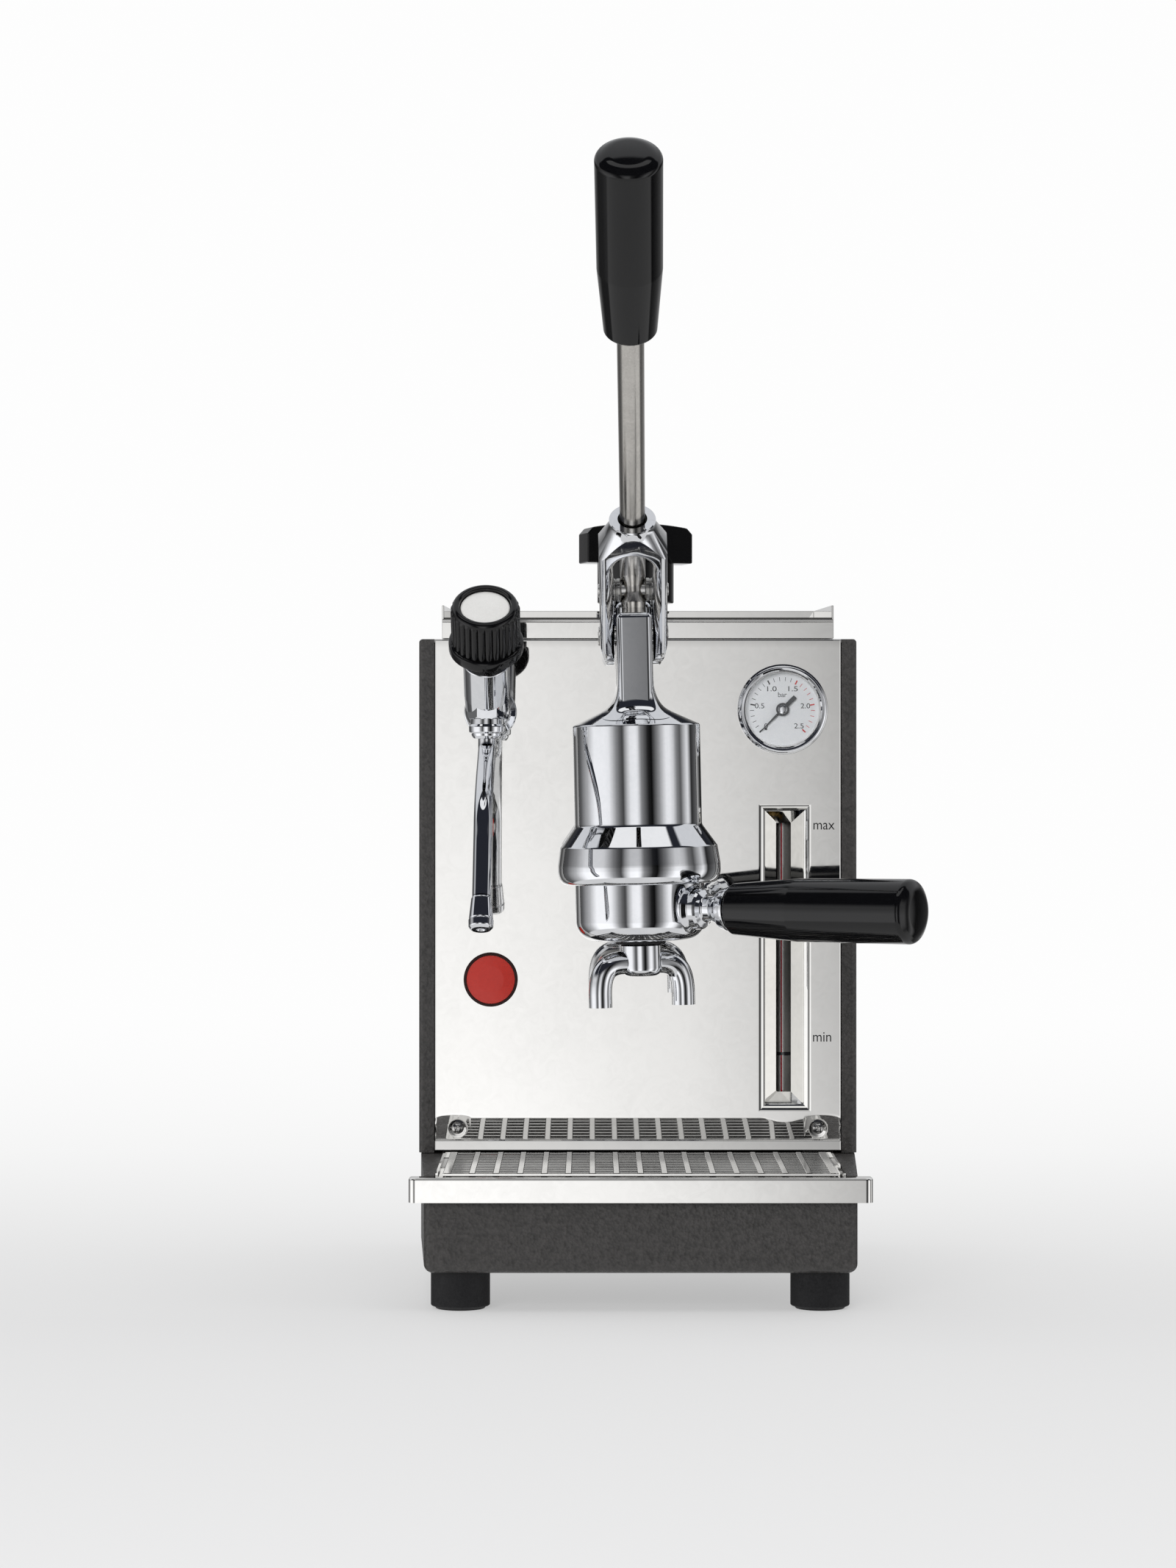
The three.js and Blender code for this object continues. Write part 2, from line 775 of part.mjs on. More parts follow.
function cupTray() {
  const back = cupTrayFront + cupTrayDepth;
  const floor = cupTrayFoot + cupTrayWall;
  const side = [
    [cupTrayFront, cupTrayFoot], [back, cupTrayFoot],
    [back, cupTrayFoot + cupTrayBackHeight], [cupTrayFront, cupTrayFoot + cupTraySideHeight],
  ].map(([y, z]) => new THREE.Vector2(y, z));
  const frontTop = cupTrayFoot + cupTrayFrontHeight;
  const inside = cupTrayWidth - 2 * cupTrayWall;
  const high = cupTrayFoot + cupTrayBackHeight + overrun;
  const hem = block(
    spread(inside + cupTrayWall),
    [cupTrayFront, cupTrayFront + cupTrayWall + cupTrayHem],
    [frontTop - cupTrayHemHeight, frontTop],
  );
  const shell = cut(
    sideways(side, spread(cupTrayWidth)),
    block(spread(inside), [cupTrayFront + cupTrayWall, back - cupTrayWall], [floor, high]),
    block(spread(inside), [cupTrayFront - overrun, cupTrayFront + overrun], [frontTop, high]),
    rod(neckRadius + seatGap, [cupTrayFoot - overrun, high]).translate(0, boilerAxis, 0),
  );
  return piece("cup_tray", join(shell, hem), "mirror");
}

function badge() {
  const rimTop = seatGap + badgeThickness;
  const faceTop = rimTop - badgeSink;
  const disc = turned([
    [0, seatGap], [badgeRadius, seatGap], [badgeRadius, rimTop], [badgeRadius - badgeRim, rimTop],
    [badgeRadius - badgeRim, faceTop], [0, faceTop],
  ], middleSides);
  const mesh = piece("badge", disc, "enamel");
  mesh.position.set(badgeOffset, 0, badgeHeight);
  mesh.rotation.x = Math.PI / 2;
  return mesh;
}

function dripTray() {
  const front = panWall + trayFrontGap - panReach;
  const inner = trayWidth - 2 * trayWall;
  const wallTop = trayRim + grilleThickness;
  const shelf = (trayWidth - grilleWidth) / 2 + trayWall; // the rim that carries the grille's edges
  const tub = cut(
    block(spread(trayWidth), [front, -traySetback], [trayFoot, wallTop]),
    block(spread(inner), [front + trayWall, -traySetback - trayWall], [trayRim, wallTop + overrun]),
    block(spread(inner - 2 * shelf), [front + trayWall, -traySetback - trayWall],
      [trayRim - overrun, trayRim + overrun]),
    block(spread(inner), [front + trayWall, -traySetback - trayWall],
      [trayFoot + trayWall, trayRim - trayWall]),
    block(spread(trayWidth + overrun), [front - overrun, front + trayWall + seatGap],
      [trayRim, wallTop + overrun]),
  );
  const lipFoot = lipTop - lipHeight;
  const ends = [-1, 1].map((side) => block(
    side < 0 ? [-lipWidth / 2, lipWall - lipWidth / 2] : [lipWidth / 2 - lipWall, lipWidth / 2],
    [-lipReach, lipReturn - lipReach],
    [lipFoot, lipTop],
  ));
  const tray = join(
    tub,
    block(spread(lipWidth), [-lipReach, lipWall - lipReach], [lipFoot, lipTop]),
    block(spread(lipWidth), [-lipReach, front + trayWall], [lipTop - lipWall, lipTop]),
    ...ends,
  );
  return piece("drip_tray", tray, "mirror");
}

function dripGrille() {
  const thickness = [grilleFoot, grilleFoot + grilleThickness];
  const through = [grilleFoot - overrun, grilleFoot + overrun];
  const middle = -(grilleFront + grilleBack) / 2;
  const slots = [];
  for (let column = 0; column < grilleColumns; column += 1) {
    const x = (column - (grilleColumns - 1) / 2) * slotColumnPitch;
    for (let row = 0; row < grilleRows; row += 1) {
      const y = middle + (row - (grilleRows - 1) / 2) * slotRowPitch;
      slots.push(block([x - slotWidth / 2, x + slotWidth / 2], [y - slotLength / 2, y + slotLength / 2],
        through));
    }
  }
  const plate = block(spread(grilleWidth), [-grilleFront, -grilleBack], thickness);
  return piece("drip_grille", cut(plate, ...slots), "steel");
}

// Boiler: a vessel on a skirt, with a neck that comes up through the cup tray and a flange for the group.
function boilerPieces() {
  const neckFlare = (neckRadius + boilerRadius) / 2;
  const shoulderTop = boilerTop - boilerShoulder / 2;
  const shell = turned([
    [elementRadius * 4, boilerFoot], [boilerRadius, boilerFoot, boilerShoulder],
    [boilerRadius, shoulderTop, boilerShoulder], [neckFlare, boilerTop], [neckRadius, boilerTop],
    [neckRadius, neckTop],
    [neckBore, neckTop], [neckBore, boilerTop - boilerWall], [neckFlare, boilerTop - boilerWall],
    [boilerRadius - boilerWall, shoulderTop - boilerWall, boilerShoulder - boilerWall],
    [boilerRadius - boilerWall, boilerFoot + boilerWall, boilerShoulder - boilerWall],
    [elementRadius * 4, boilerFoot + boilerWall],
  ], wideSides).translate(0, boilerAxis, 0);
  const flangeFace = groupNeckEnd + seatGap;
  const stub = rod(groupFlangeRadius, [0, boilerAxis - boilerRadius + boilerWall * 4 - flangeFace],
    middleSides)
    .rotateX(-Math.PI / 2).translate(groupOffset, flangeFace, groupNeckHeight);
  const hollow = rod(boilerRadius - boilerWall, [boilerFoot + boilerShoulder, boilerTop - boilerShoulder],
    wideSides)
    .translate(0, boilerAxis, 0);
  const port = rod(groupPort, [0, boilerRadius], smallSides).rotateX(-Math.PI / 2)
    .translate(groupOffset, flangeFace - overrun, groupNeckHeight);
  const boiler = cut(join(shell, cut(stub, hollow)), port);
  const standTop = boilerFoot - seatGap;
  const stand = ring(standRadius - standWall, standRadius, [panFloor + seatGap, standTop], wideSides);
  const standFoot = ring(standRadius - standFlange, standRadius + standFlange,
    [panFloor + seatGap, panFloor + seatGap + standWall], wideSides);
  const skirt = join(stand, standFoot).translate(0, boilerAxis, 0);

  const flangeTop = boilerFoot - seatGap;
  const flangeFoot = flangeTop - elementFlangeThickness;
  const reach = elementSpread / 2;
  const bend = boilerFoot + elementLength;
  const loop = new THREE.CatmullRomCurve3([
    new THREE.Vector3(-elementRadius * 2, 0, flangeTop),
      new THREE.Vector3(-elementRadius * 2, 0, flangeTop + elementHead),
    new THREE.Vector3(-reach, 0, boilerFoot + reach), new THREE.Vector3(-reach, 0, bend - reach),
    new THREE.Vector3(0, 0, bend), new THREE.Vector3(reach, 0, bend - reach),
    new THREE.Vector3(reach, 0, boilerFoot + reach),
      new THREE.Vector3(elementRadius * 2, 0, flangeTop + elementHead),
    new THREE.Vector3(elementRadius * 2, 0, flangeTop),
  ]);
  const element = join(
    rod(elementFlangeRadius, [flangeFoot, flangeTop]),
    bar(elementRadius, loop, 22, 6).translate(0, 0, -seatGap),
  ).translate(0, boilerAxis, 0);

  const safety = turned([
    [0, boilerTop + seatGap], [safetyRadius, boilerTop + seatGap],
    [safetyRadius, boilerTop + safetyHeight / 2],
    [safetyRadius / 2, boilerTop + safetyHeight / 2], [safetyRadius / 2, boilerTop + safetyHeight],
    [0, boilerTop + safetyHeight],
  ], smallSides).translate(-valveSeatOffset / 2, boilerAxis + valveSeatOffset / 2, 0);

  const clear = housingWall + pressurestatGap;
  const statMiddle = new THREE.Vector2((pressurestatWidth - housingWidth) / 2 + clear,
    housingDepth - clear - pressurestatDepth / 2 - boilerAxis);
  const pipe = rod(pressurestatPipe, [boilerRadius + seatGap, statMiddle.length()], smallSides)
    .rotateY(Math.PI / 2).rotateZ(statMiddle.angle());
  const stat = join(
    block(spread(pressurestatWidth), spread(pressurestatDepth), spread(pressurestatHeight))
      .translate(statMiddle.x, statMiddle.y, 0),
    pipe,
  ).translate(0, boilerAxis, pressurestatMiddle);
  return [
    piece("boiler_shell", boiler, "steel"),
    piece("boiler_stand", skirt, "steel"),
    piece("heating_element", element, "steel"),
    piece("safety_valve", safety, "brass"),
    piece("pressurestat", stat, "plastic"),
  ];
}

// Cap: a skirt over the boiler's neck with two wings to turn it by.
function boilerCap() {
  const skirt = turned([
    [neckRadius + turnGap, capSkirtFoot], [capSkirtRadius, capSkirtFoot, capSkirtRound],
    [capSkirtRadius, capWingFoot + capWingChamfer], [0, capWingFoot + capWingChamfer],
    [0, capCeiling], [neckRadius + turnGap, capCeiling],
  ], wideSides);
  const half = capWingSpan / 2;
  const crown = new THREE.Shape();
  crown.moveTo(-half, capWingFoot);
  crown.lineTo(half, capWingFoot);
  crown.lineTo(half, capWingTop - capWingChamfer);
  crown.lineTo(half - capWingChamfer / 2, capWingTop - capWingChamfer / 2);
  crown.quadraticCurveTo(0, capWingTop + capWingChamfer / 2, capWingChamfer / 2 - half,
    capWingTop - capWingChamfer / 2);
  crown.lineTo(-half, capWingTop - capWingChamfer);
  crown.closePath();
  const wings = prism(crown.getPoints(8).slice(0, -1), spread(capWingThickness)).rotateX(Math.PI / 2);
  const cap = join(skirt, wings).rotateZ(degrees(capTurned));
  const gasket = ring(neckBore, neckRadius, [capGasketFoot, capGasketFoot + capGasketHeight]);
  const capMesh = piece("boiler_cap", cap, "bakelite");
  const gasketMesh = piece("cap_gasket", gasket, "rubber");
  for (const mesh of [capMesh, gasketMesh]) mesh.position.y = boilerAxis;
  return [capMesh, gasketMesh];
}

// Gauge, built looking along its own axis: Z comes out of the panel towards the user.
function gauge() {
  const recessRadius = caseRadius - caseWall;
  const dialFace = dialThickness;
  const pinHole = needlePin + turnGap;
  const needleFoot = dialFace + needleLift;
  const pinEnd = needleFoot - needlePinLength;
  const pinWell = pinEnd - seatGap;
  const housing = turned([
    [0, -caseDepth], [caseRadius, -caseDepth, 2 * caseWall], [caseRadius, caseRim], [recessRadius, caseRim],
    [recessRadius, -seatGap], [pinHole, -seatGap], [pinHole, pinWell], [0, pinWell],
  ], middleSides, 2);
  const lensFoot = caseRim + seatGap;
  const lipFoot = lensFoot + lensThickness + seatGap;
  const bezel = turned([
    [caseRadius + seatGap, seatGap], [bezelRadius, seatGap], [bezelRadius, bezelHeight, 2 * bezelLip],
    [bezelInner, bezelHeight], [bezelInner, lipFoot], [caseRadius + seatGap, lipFoot],
  ], wideSides);
  const tip = needlePin / 2;
  const blade = prism([
    new THREE.Vector2(-needleTail, -needleTailWidth / 2), new THREE.Vector2(0, -needleTailWidth / 2),
    new THREE.Vector2(needleLength, -tip / 2), new THREE.Vector2(needleLength, tip / 2),
    new THREE.Vector2(0, needleTailWidth / 2), new THREE.Vector2(-needleTail, needleTailWidth / 2),
  ], [needleFoot, needleFoot + needleThickness]);
  const needle = join(
    blade,
    rod(needleHub, [needleFoot, needleFoot + needleThickness * 2], smallSides),
    rod(needlePin, [pinEnd, needleFoot + needleThickness / 2], fineSides),
  ).rotateZ(degrees(needleZero));
  const group = gathered(
    piece("gauge_case", housing, "satin"),
    piece("gauge_bezel", bezel, "chrome"),
    piece("gauge_dial", ring(pinHole, recessRadius - seatGap, [0, dialFace]), "dial"),
    piece("gauge_needle", needle, "ink"),
    piece("gauge_lens", rod(caseRadius, [lensFoot, lensFoot + lensThickness]), "glass"),
  );
  group.position.set(gaugeOffset, 0, gaugeHeight);
  group.rotation.x = Math.PI / 2;
  return group;
}

// The gauge's pipe runs from the back of its case to the boiler's shoulder.
function gaugePipe() {
  const start = caseDepth + seatGap;
  const corner = new THREE.Vector3(gaugeOffset, start + gaugePipeRadius * 8, gaugeHeight);
  const end = new THREE.Vector3(boilerRadius + gaugePipeRadius + seatGap, boilerAxis,
    gaugeHeight - caseRadius);
  const route = new THREE.QuadraticBezierCurve3(new THREE.Vector3(gaugeOffset, start, gaugeHeight), corner,
    end);
  return piece("gauge_pipe", bar(gaugePipeRadius, route, 8, 8), "brass");
}

// Sight glass: a straight glass between two sockets, each on an arm from the boiler.
function sightGlass() {
  const glassReach = recessDepth + seatGap + sightSocketRadius;
  const lowFoot = windowFoot - sightSocketLength;
  const highFoot = windowTop + seatGap;
  const socketWall = sightSocketLength - sightSocketDepth;
  const glassEnds = [lowFoot + socketWall + seatGap, highFoot + sightSocketDepth - seatGap];
  const towards = new THREE.Vector2(-sightOffset, boilerAxis - glassReach);
  const armLength = towards.length() - boilerRadius - seatGap;
  const socket = (name, foot, wellFoot) => {
    const arm = rod(sightArmRadius, [0, armLength], smallSides).rotateY(Math.PI / 2)
      .rotateZ(towards.angle()).translate(0, 0, foot + sightSocketLength / 2);
    const body = join(rod(sightSocketRadius, [foot, foot + sightSocketLength]), arm);
    const well = rod(sightGlassRadius + turnGap, [wellFoot, wellFoot + sightSocketDepth], smallSides);
    return piece(name, cut(body, well), "brass");
  };
  const group = gathered(
    piece("sight_glass", ring(sightGlassBore, sightGlassRadius, glassEnds, smallSides), "glass"),
    socket("sight_socket_low", lowFoot, lowFoot + socketWall),
    socket("sight_socket_high", highFoot, highFoot),
  );
  group.position.set(sightOffset, glassReach, 0);
  return group;
}

// Steam valve. Its knob's axis leans forward, so the knob's pieces are built upright in a leaning group.
function steamValve() {
  const lean = degrees(steamTilt);
  const bonnetTop = steamBonnetLength;
  const glandTop = bonnetTop + steamGlandLength;
  const spindleFoot = bonnetTop - spindleSunk;
  const spindleTop = knobStart + knobBore - seatGap;
  const bonnet = turned([
    [0, -steamBodyRadius / 2], [steamBodyRadius * steamFootShare, 0], [steamBodyRadius, bonnetTop / 2],
    [steamBodyRadius, bonnetTop, steamBonnetRound], [steamGlandRadius, bonnetTop],
    [steamGlandRadius, glandTop],
    [spindleRadius + turnGap, glandTop], [spindleRadius + turnGap, spindleFoot - seatGap],
    [0, spindleFoot - seatGap],
  ]).rotateX(lean);
  const inlet = join(
    rod(steamInletRadius, [-steamTail, steamReach]),
    rod(steamRosetteRadius, [seatGap, seatGap + steamRosetteThickness]),
  ).rotateX(Math.PI / 2).translate(0, steamReach, 0);
  const heart = new THREE.SphereGeometry(steamBodyRadius, 10, 6);
  const outletDrop = steamHeight - hexFoot;
  const shift = steamReach - wandReach;
  const hexTop = hexHeight - outletDrop;
  const outlet = rod(hexRadius, [-outletDrop, hexTop], 6).translate(0, shift, 0);
  const wandSocket = rod(wandRadius + wandGap, [-overrun - outletDrop, seatGap - outletDrop + wandRadius])
    .translate(0, shift, 0);
  const nutRoom = rod(wandNutRadius + turnGap, [-overrun - outletDrop, -outletDrop]).translate(0, shift, 0);
  const body = piece("steam_valve_body", cut(join(inlet, heart, bonnet, outlet), wandSocket, nutRoom),
    "chrome");
  body.position.set(steamOffset, -steamReach, steamHeight);

  const fluted = [];
  for (let i = 0; i < knobFlutes * 2; i += 1) {
    const radius = knobRadius - (i % 2 === 0 ? knobFluteDepth : 0);
    const angle = (Math.PI * i) / knobFlutes;
    fluted.push(new THREE.Vector2(Math.cos(angle), Math.sin(angle)).multiplyScalar(radius));
  }
  const knobEnd = knobStart + knobLength;
  const rim = turned([
    [0, knobStart + knobSkirt / 2], [knobRadius - knobFluteDepth / 2, knobStart + knobSkirt / 2],
    [knobRadius - knobFluteDepth / 2, knobEnd, knobCrown], [0, knobEnd],
  ], wideSides);
  const skirt = turned([[0, knobStart], [knobSkirtRadius, knobStart, knobCrown / 2],
    [knobSkirtRadius, knobStart + knobSkirt],
    [0, knobStart + knobSkirt]], wideSides, 2);
  const discFoot = knobEnd - discSunk - discThickness;
  const knob = cut(
    join(prism(fluted, [knobStart + knobSkirt / 2, knobEnd - knobCrown]), rim, skirt),
    rod(discRadius + seatGap, [discFoot - seatGap, knobEnd + overrun]),
    rod(spindleRadius + seatGap, [knobStart - overrun, knobStart + knobBore], fineSides),
  );
  const leaning = gathered(
    piece("steam_spindle", rod(spindleRadius, [spindleFoot, spindleTop], fineSides), "steel"),
    piece("steam_knob", knob, "bakelite"),
    piece("knob_disc", rod(discRadius, [discFoot, discFoot + discThickness]), "satin"),
  );
  leaning.position.copy(body.position);
  leaning.rotation.x = lean;
  return [body, leaning];
}

// The wand swivels in its nut and bends forward on its way down.
function steamWand() {
  const nutTop = hexFoot - seatGap;
  const nut = ring(wandRadius + wandGap, wandNutRadius, [wandNutFoot, nutTop]);
  const side = (lead, z) => new THREE.Vector3(0, -lead * wandLead, z);
  const fall = wandNutFoot - wandTipTop;
  const [low, high] = [wandTipTop, hexFoot + wandRadius - seatGap];
  const routeShares = [[0, 0.97], [0.08, 0.9], [0.36, 0.765], [0.68, 0.562], [0.81, 0.34], [0.916, 0.15]];
  const route = new THREE.CatmullRomCurve3([
    side(0, high),
    ...routeShares.map(([lead, rise]) => side(lead, low + rise * fall)),
    side(1, low + seatGap),
  ]);
  const tip = turned([
    [0, wandTipFoot + wandTipBoreDepth], [wandTipBore, wandTipFoot + wandTipBoreDepth],
    [wandTipBore, wandTipFoot],
    [wandTipRadius, wandTipFoot, wandTipBore / 2],
    [wandTipRadius, (wandTipFoot + wandTipTop) / 2 - wandTipBore],
    [wandRadius, wandTipTop], [0, wandTipTop],
  ], smallSides, 2).translate(0, 0, -wandTipTop).rotateX(-degrees(wandLean))
    .translate(0, -wandLead, wandTipTop);
  const group = gathered(
    piece("wand_nut", nut, "chrome"),
    piece("steam_wand", bar(wandRadius, route, 16), "chrome"),
    piece("wand_tip", tip, "chrome"),
  );
  group.position.set(steamOffset, -wandReach, 0);
  group.rotation.z = -degrees(wandTurn);
  return group;
}

function steamPipe() {
  const start = new THREE.Vector3(steamOffset, steamTail + seatGap, steamHeight);
  const meets = degrees(steamPipeMeets);
  const outward = new THREE.Vector3(Math.cos(meets), Math.sin(meets), 0);
  const centre = new THREE.Vector3(0, boilerAxis, steamHeight);
  const corner = outward.clone().multiplyScalar(steamOffset / outward.x).add(centre);
  const end = outward.clone().multiplyScalar(boilerRadius + seatGap).add(centre);
  return piece("steam_pipe", bar(steamPipeRadius, new THREE.QuadraticBezierCurve3(start, corner, end), 8),
    "brass");
}

// How the rod's pin and the fixed pin stand when the lever is turned from its photographed place.
function fulcrumAt(turn) {
  const back = fulcrumBack * Math.cos(turn) + fulcrumDrop * Math.sin(turn);
  const up = fulcrumBack * Math.sin(turn) - fulcrumDrop * Math.cos(turn);
  return [back, leverPinHeight - leverRise * turn + up];
}

// The slot that the fixed pin's path sweeps in the tower while the rod moves straight.
function camSlot() {
  const radius = pinRadius + camGap;
  const from = -degrees(leverUp);
  const step = (degrees(leverDown) - from) / camSteps;
  const places = Array.from({ length: camSteps + 1 }, (_, i) => fulcrumAt(from + i * step));
  const reach = spread(towerWidth + overrun);
  const links = places.slice(1).map(([y, z], i) => {
    const [before, height] = places[i];
    return sideways(belt([before, height, radius], [y, z, radius], 6), reach);
  });
  return join(...links);
}

function groupBody() {
  const drop = (collarTop + barrelFoot) / 2;
  const casting = turned([
    [0, collarFoot], [collarRadius, collarFoot, collarRound], [collarRadius, collarTop, collarRound / 4],
    [(collarRadius + barrelRadius * 2) / 3, drop, collarRound],
    [barrelRadius, barrelFoot + collarRound / 2],
    [barrelRadius, barrelTop, collarRound / 4], [domeInner, domeTop, collarRound],
    [domeInner - collarRound / 2, domeTop + collarRound],
    [0, domeTop + collarRound],
  ], wideSides);
  const edge = towerRound;
  const tower = sideways(rounded([
    [-towerFront - edge, towerFoot], [-towerFront, domeTop + edge, edge], [-towerFront, towerTop, edge],
    [-saddleFront, towerTop], [-saddleFront, saddleHeight, edge], [saddleBack, saddleHeight, edge],
    [saddleBack, lugTop, edge], [towerBack, lugTop, edge], [towerBack, lugFoot, edge],
    [towerHeel, towerFoot],
  ]), spread(towerWidth));
  const neck = rod(groupNeckRadius, [0, groupReach + groupNeckEnd - groupFlangeThickness]);
  const flange = rod(groupFlangeRadius,
    [groupReach + groupNeckEnd - groupFlangeThickness, groupReach + groupNeckEnd]);
  const back = join(neck, flange).rotateX(-Math.PI / 2).translate(0, 0, groupNeckHeight);
  const inside = turned([
    [0, collarFoot - overrun], [mouthRadius, collarFoot - overrun], [mouthRadius, lockFloor],
    [lockRadius, lockFloor],
    [lockRadius, lockTop], [noseRadius, lockTop], [noseRadius, noseFoot], [screenSeat, noseFoot],
    [screenSeat, lockTop + seatGap], [pistonBore, lockTop + seatGap], [pistonBore, pistonBoreTop],
    [pistonConeRadius, pistonConeTop], [0, pistonConeTop],
  ], wideSides);
  const port = rod(groupPort, [0, groupReach + groupNeckEnd + overrun], smallSides)
    .rotateX(-Math.PI / 2).translate(0, 0, groupNeckHeight - groupPort);
  const shaft = rod(rodRadius + turnGap, [pistonConeTop - overrun, towerTop + overrun]);
  const slots = [0, 1].map((half) => {
    const sweep = degrees(earSweep + 2 * earGap);
    const middle = degrees(earPlace - handleTurn - lockTurn) + half * Math.PI;
    return earSector(lockRadius, middle, sweep, [collarFoot - overrun, lockFloor + seatGap]);
  });
  const body = cut(join(casting, tower, back), inside, port, shaft, camSlot(), ...slots);
  return piece("group_body", body, "chrome");
}

// A slice of a disc, from the axis out to a radius.
function earSector(radius, middle, sweep, heights) {
  const points = [new THREE.Vector2()];
  const steps = 6;
  for (let i = 0; i <= steps; i += 1) {
    const angle = middle - sweep / 2 + (sweep * i) / steps;
    points.push(new THREE.Vector2(Math.cos(angle), Math.sin(angle)).multiplyScalar(radius));
  }
  return prism(points, heights);
}

function holes(count, holeRadius, circleRadius, heights) {
  return Array.from({ length: count }, (_, i) => {
    const angle = (2 * Math.PI * i) / count;
    const hole = rod(holeRadius, heights, 6);
    return hole.translate(circleRadius * Math.cos(angle), circleRadius * Math.sin(angle), 0);
  });
}

function groupInsides() {
  const gasketTop = lockTop - seatGap;
  const gasket = ring(noseRadius + seatGap, lockRadius - seatGap, [gasketTop - gasketHeight, gasketTop],
    wideSides);
  const screenRadius = screenSeat - seatGap;
  const screenTop = lockTop - seatGap / 2;
  const screenFoot = screenTop - screenHeight;
  const screenCup = turned([
    [0, screenFoot], [screenRadius, screenFoot], [screenRadius, screenTop],
    [screenRadius - screenThickness, screenTop],
    [screenRadius - screenThickness, screenFoot + screenThickness], [0, screenFoot + screenThickness],
  ]);
  const bores = [screenFoot - overrun, screenFoot + overrun];
  const screen = cut(
    screenCup,
    ...holes(screenHoles / 2, screenHoleRadius, screenRadius / 3, bores),
    ...holes(screenHoles, screenHoleRadius, (screenRadius * 2) / 3, bores),
  );
  return gathered(piece("group_gasket", gasket, "rubber"), piece("shower_screen", screen, "steel"));
}

// Piston, its two seals, and the rod with the cross boss that takes the lever's pin.
function pistonPieces() {
  const radius = pistonBore - pistonGap;
  const groove = radius - sealDepth;
  const skirtTop = pistonFoot + pistonSkirt;
  const land = (pistonSkirt - 2 * sealHeight) / 3;
  const grooves = [pistonFoot + land, skirtTop - land - sealHeight];
  const sockFoot = rodFoot - seatGap;
  const sockRadius = rodTipRadius + seatGap;
  const piston = turned([
    [0, pistonFoot], [radius, pistonFoot], [radius, grooves[0]], [groove, grooves[0]],
    [groove, grooves[0] + sealHeight],
    [radius, grooves[0] + sealHeight], [radius, grooves[1]], [groove, grooves[1]],
    [groove, grooves[1] + sealHeight],
    [radius, grooves[1] + sealHeight], [radius, skirtTop],
    [pistonConeRadius - pistonGap, skirtTop + pistonCone],
    [sockRadius, skirtTop + pistonCone], [sockRadius, sockFoot], [0, sockFoot],
  ], wideSides);
  const seal = (name, foot) => piece(name, ring(
    groove + seatGap, radius + sealStandout, [foot + seatGap, foot + sealHeight - seatGap], wideSides,
  ), "rubber");
  const coneTop = skirtTop + pistonCone + seatGap;
  const shaft = turned([
    [0, rodFoot], [rodTipRadius, rodFoot], [rodTipRadius, coneTop], [rodRadius, coneTop],
    [rodRadius, leverPinHeight - pinBoss * 3], [rodWaist, leverPinHeight - pinBoss * 2],
    [rodWaist, leverPinHeight - pinBoss / 2], [rodRadius, leverPinHeight + pinBoss],
    [rodRadius, rodTop, rodRound], [0, rodTop],
  ], 18, 2);
  const boss = rod(pinBoss, spread(forkOpening - 2 * turnGap), smallSides).rotateY(Math.PI / 2).translate(0,
    0, leverPinHeight);
  const eye = rod(pinRadius + seatGap, spread(forkWidth), fineSides).rotateY(Math.PI / 2).translate(0, 0,
    leverPinHeight);
  const pinLength = forkWidth / 2 + pinStandout;
  const pin = rod(pinRadius, spread(2 * pinLength), fineSides).rotateY(Math.PI / 2).translate(0, 0,
    leverPinHeight);
  return gathered(
    piece("piston", piston, "brass"),
    seal("piston_seal_low", grooves[0]),
    seal("piston_seal_high", grooves[1]),
    piece("piston_rod", cut(join(shaft, boss), eye), "steel"),
    piece("rod_pin", pin, "steel"),
  );
}

// The grip as a profile from z = 0 at its lower edge, with a blind hole for what carries it.
function grip(holeRadius, holeDepth) {
  const beadFoot = gripLength - gripEnd - gripBeadLength;
  return turned([
    [holeRadius, 0], [gripFootRadius, 0, gripRound], [gripRadius, gripKnee], [gripRadius, beadFoot],
    [gripBead, beadFoot + gripBeadLength / 3], [gripBead, beadFoot + gripBeadLength, gripRound],
    [gripBead * gripDomeShare, gripLength - gripEnd / 4], [0, gripLength], [0, holeDepth],
    [holeRadius, holeDepth],
  ], middleSides, 2);
}

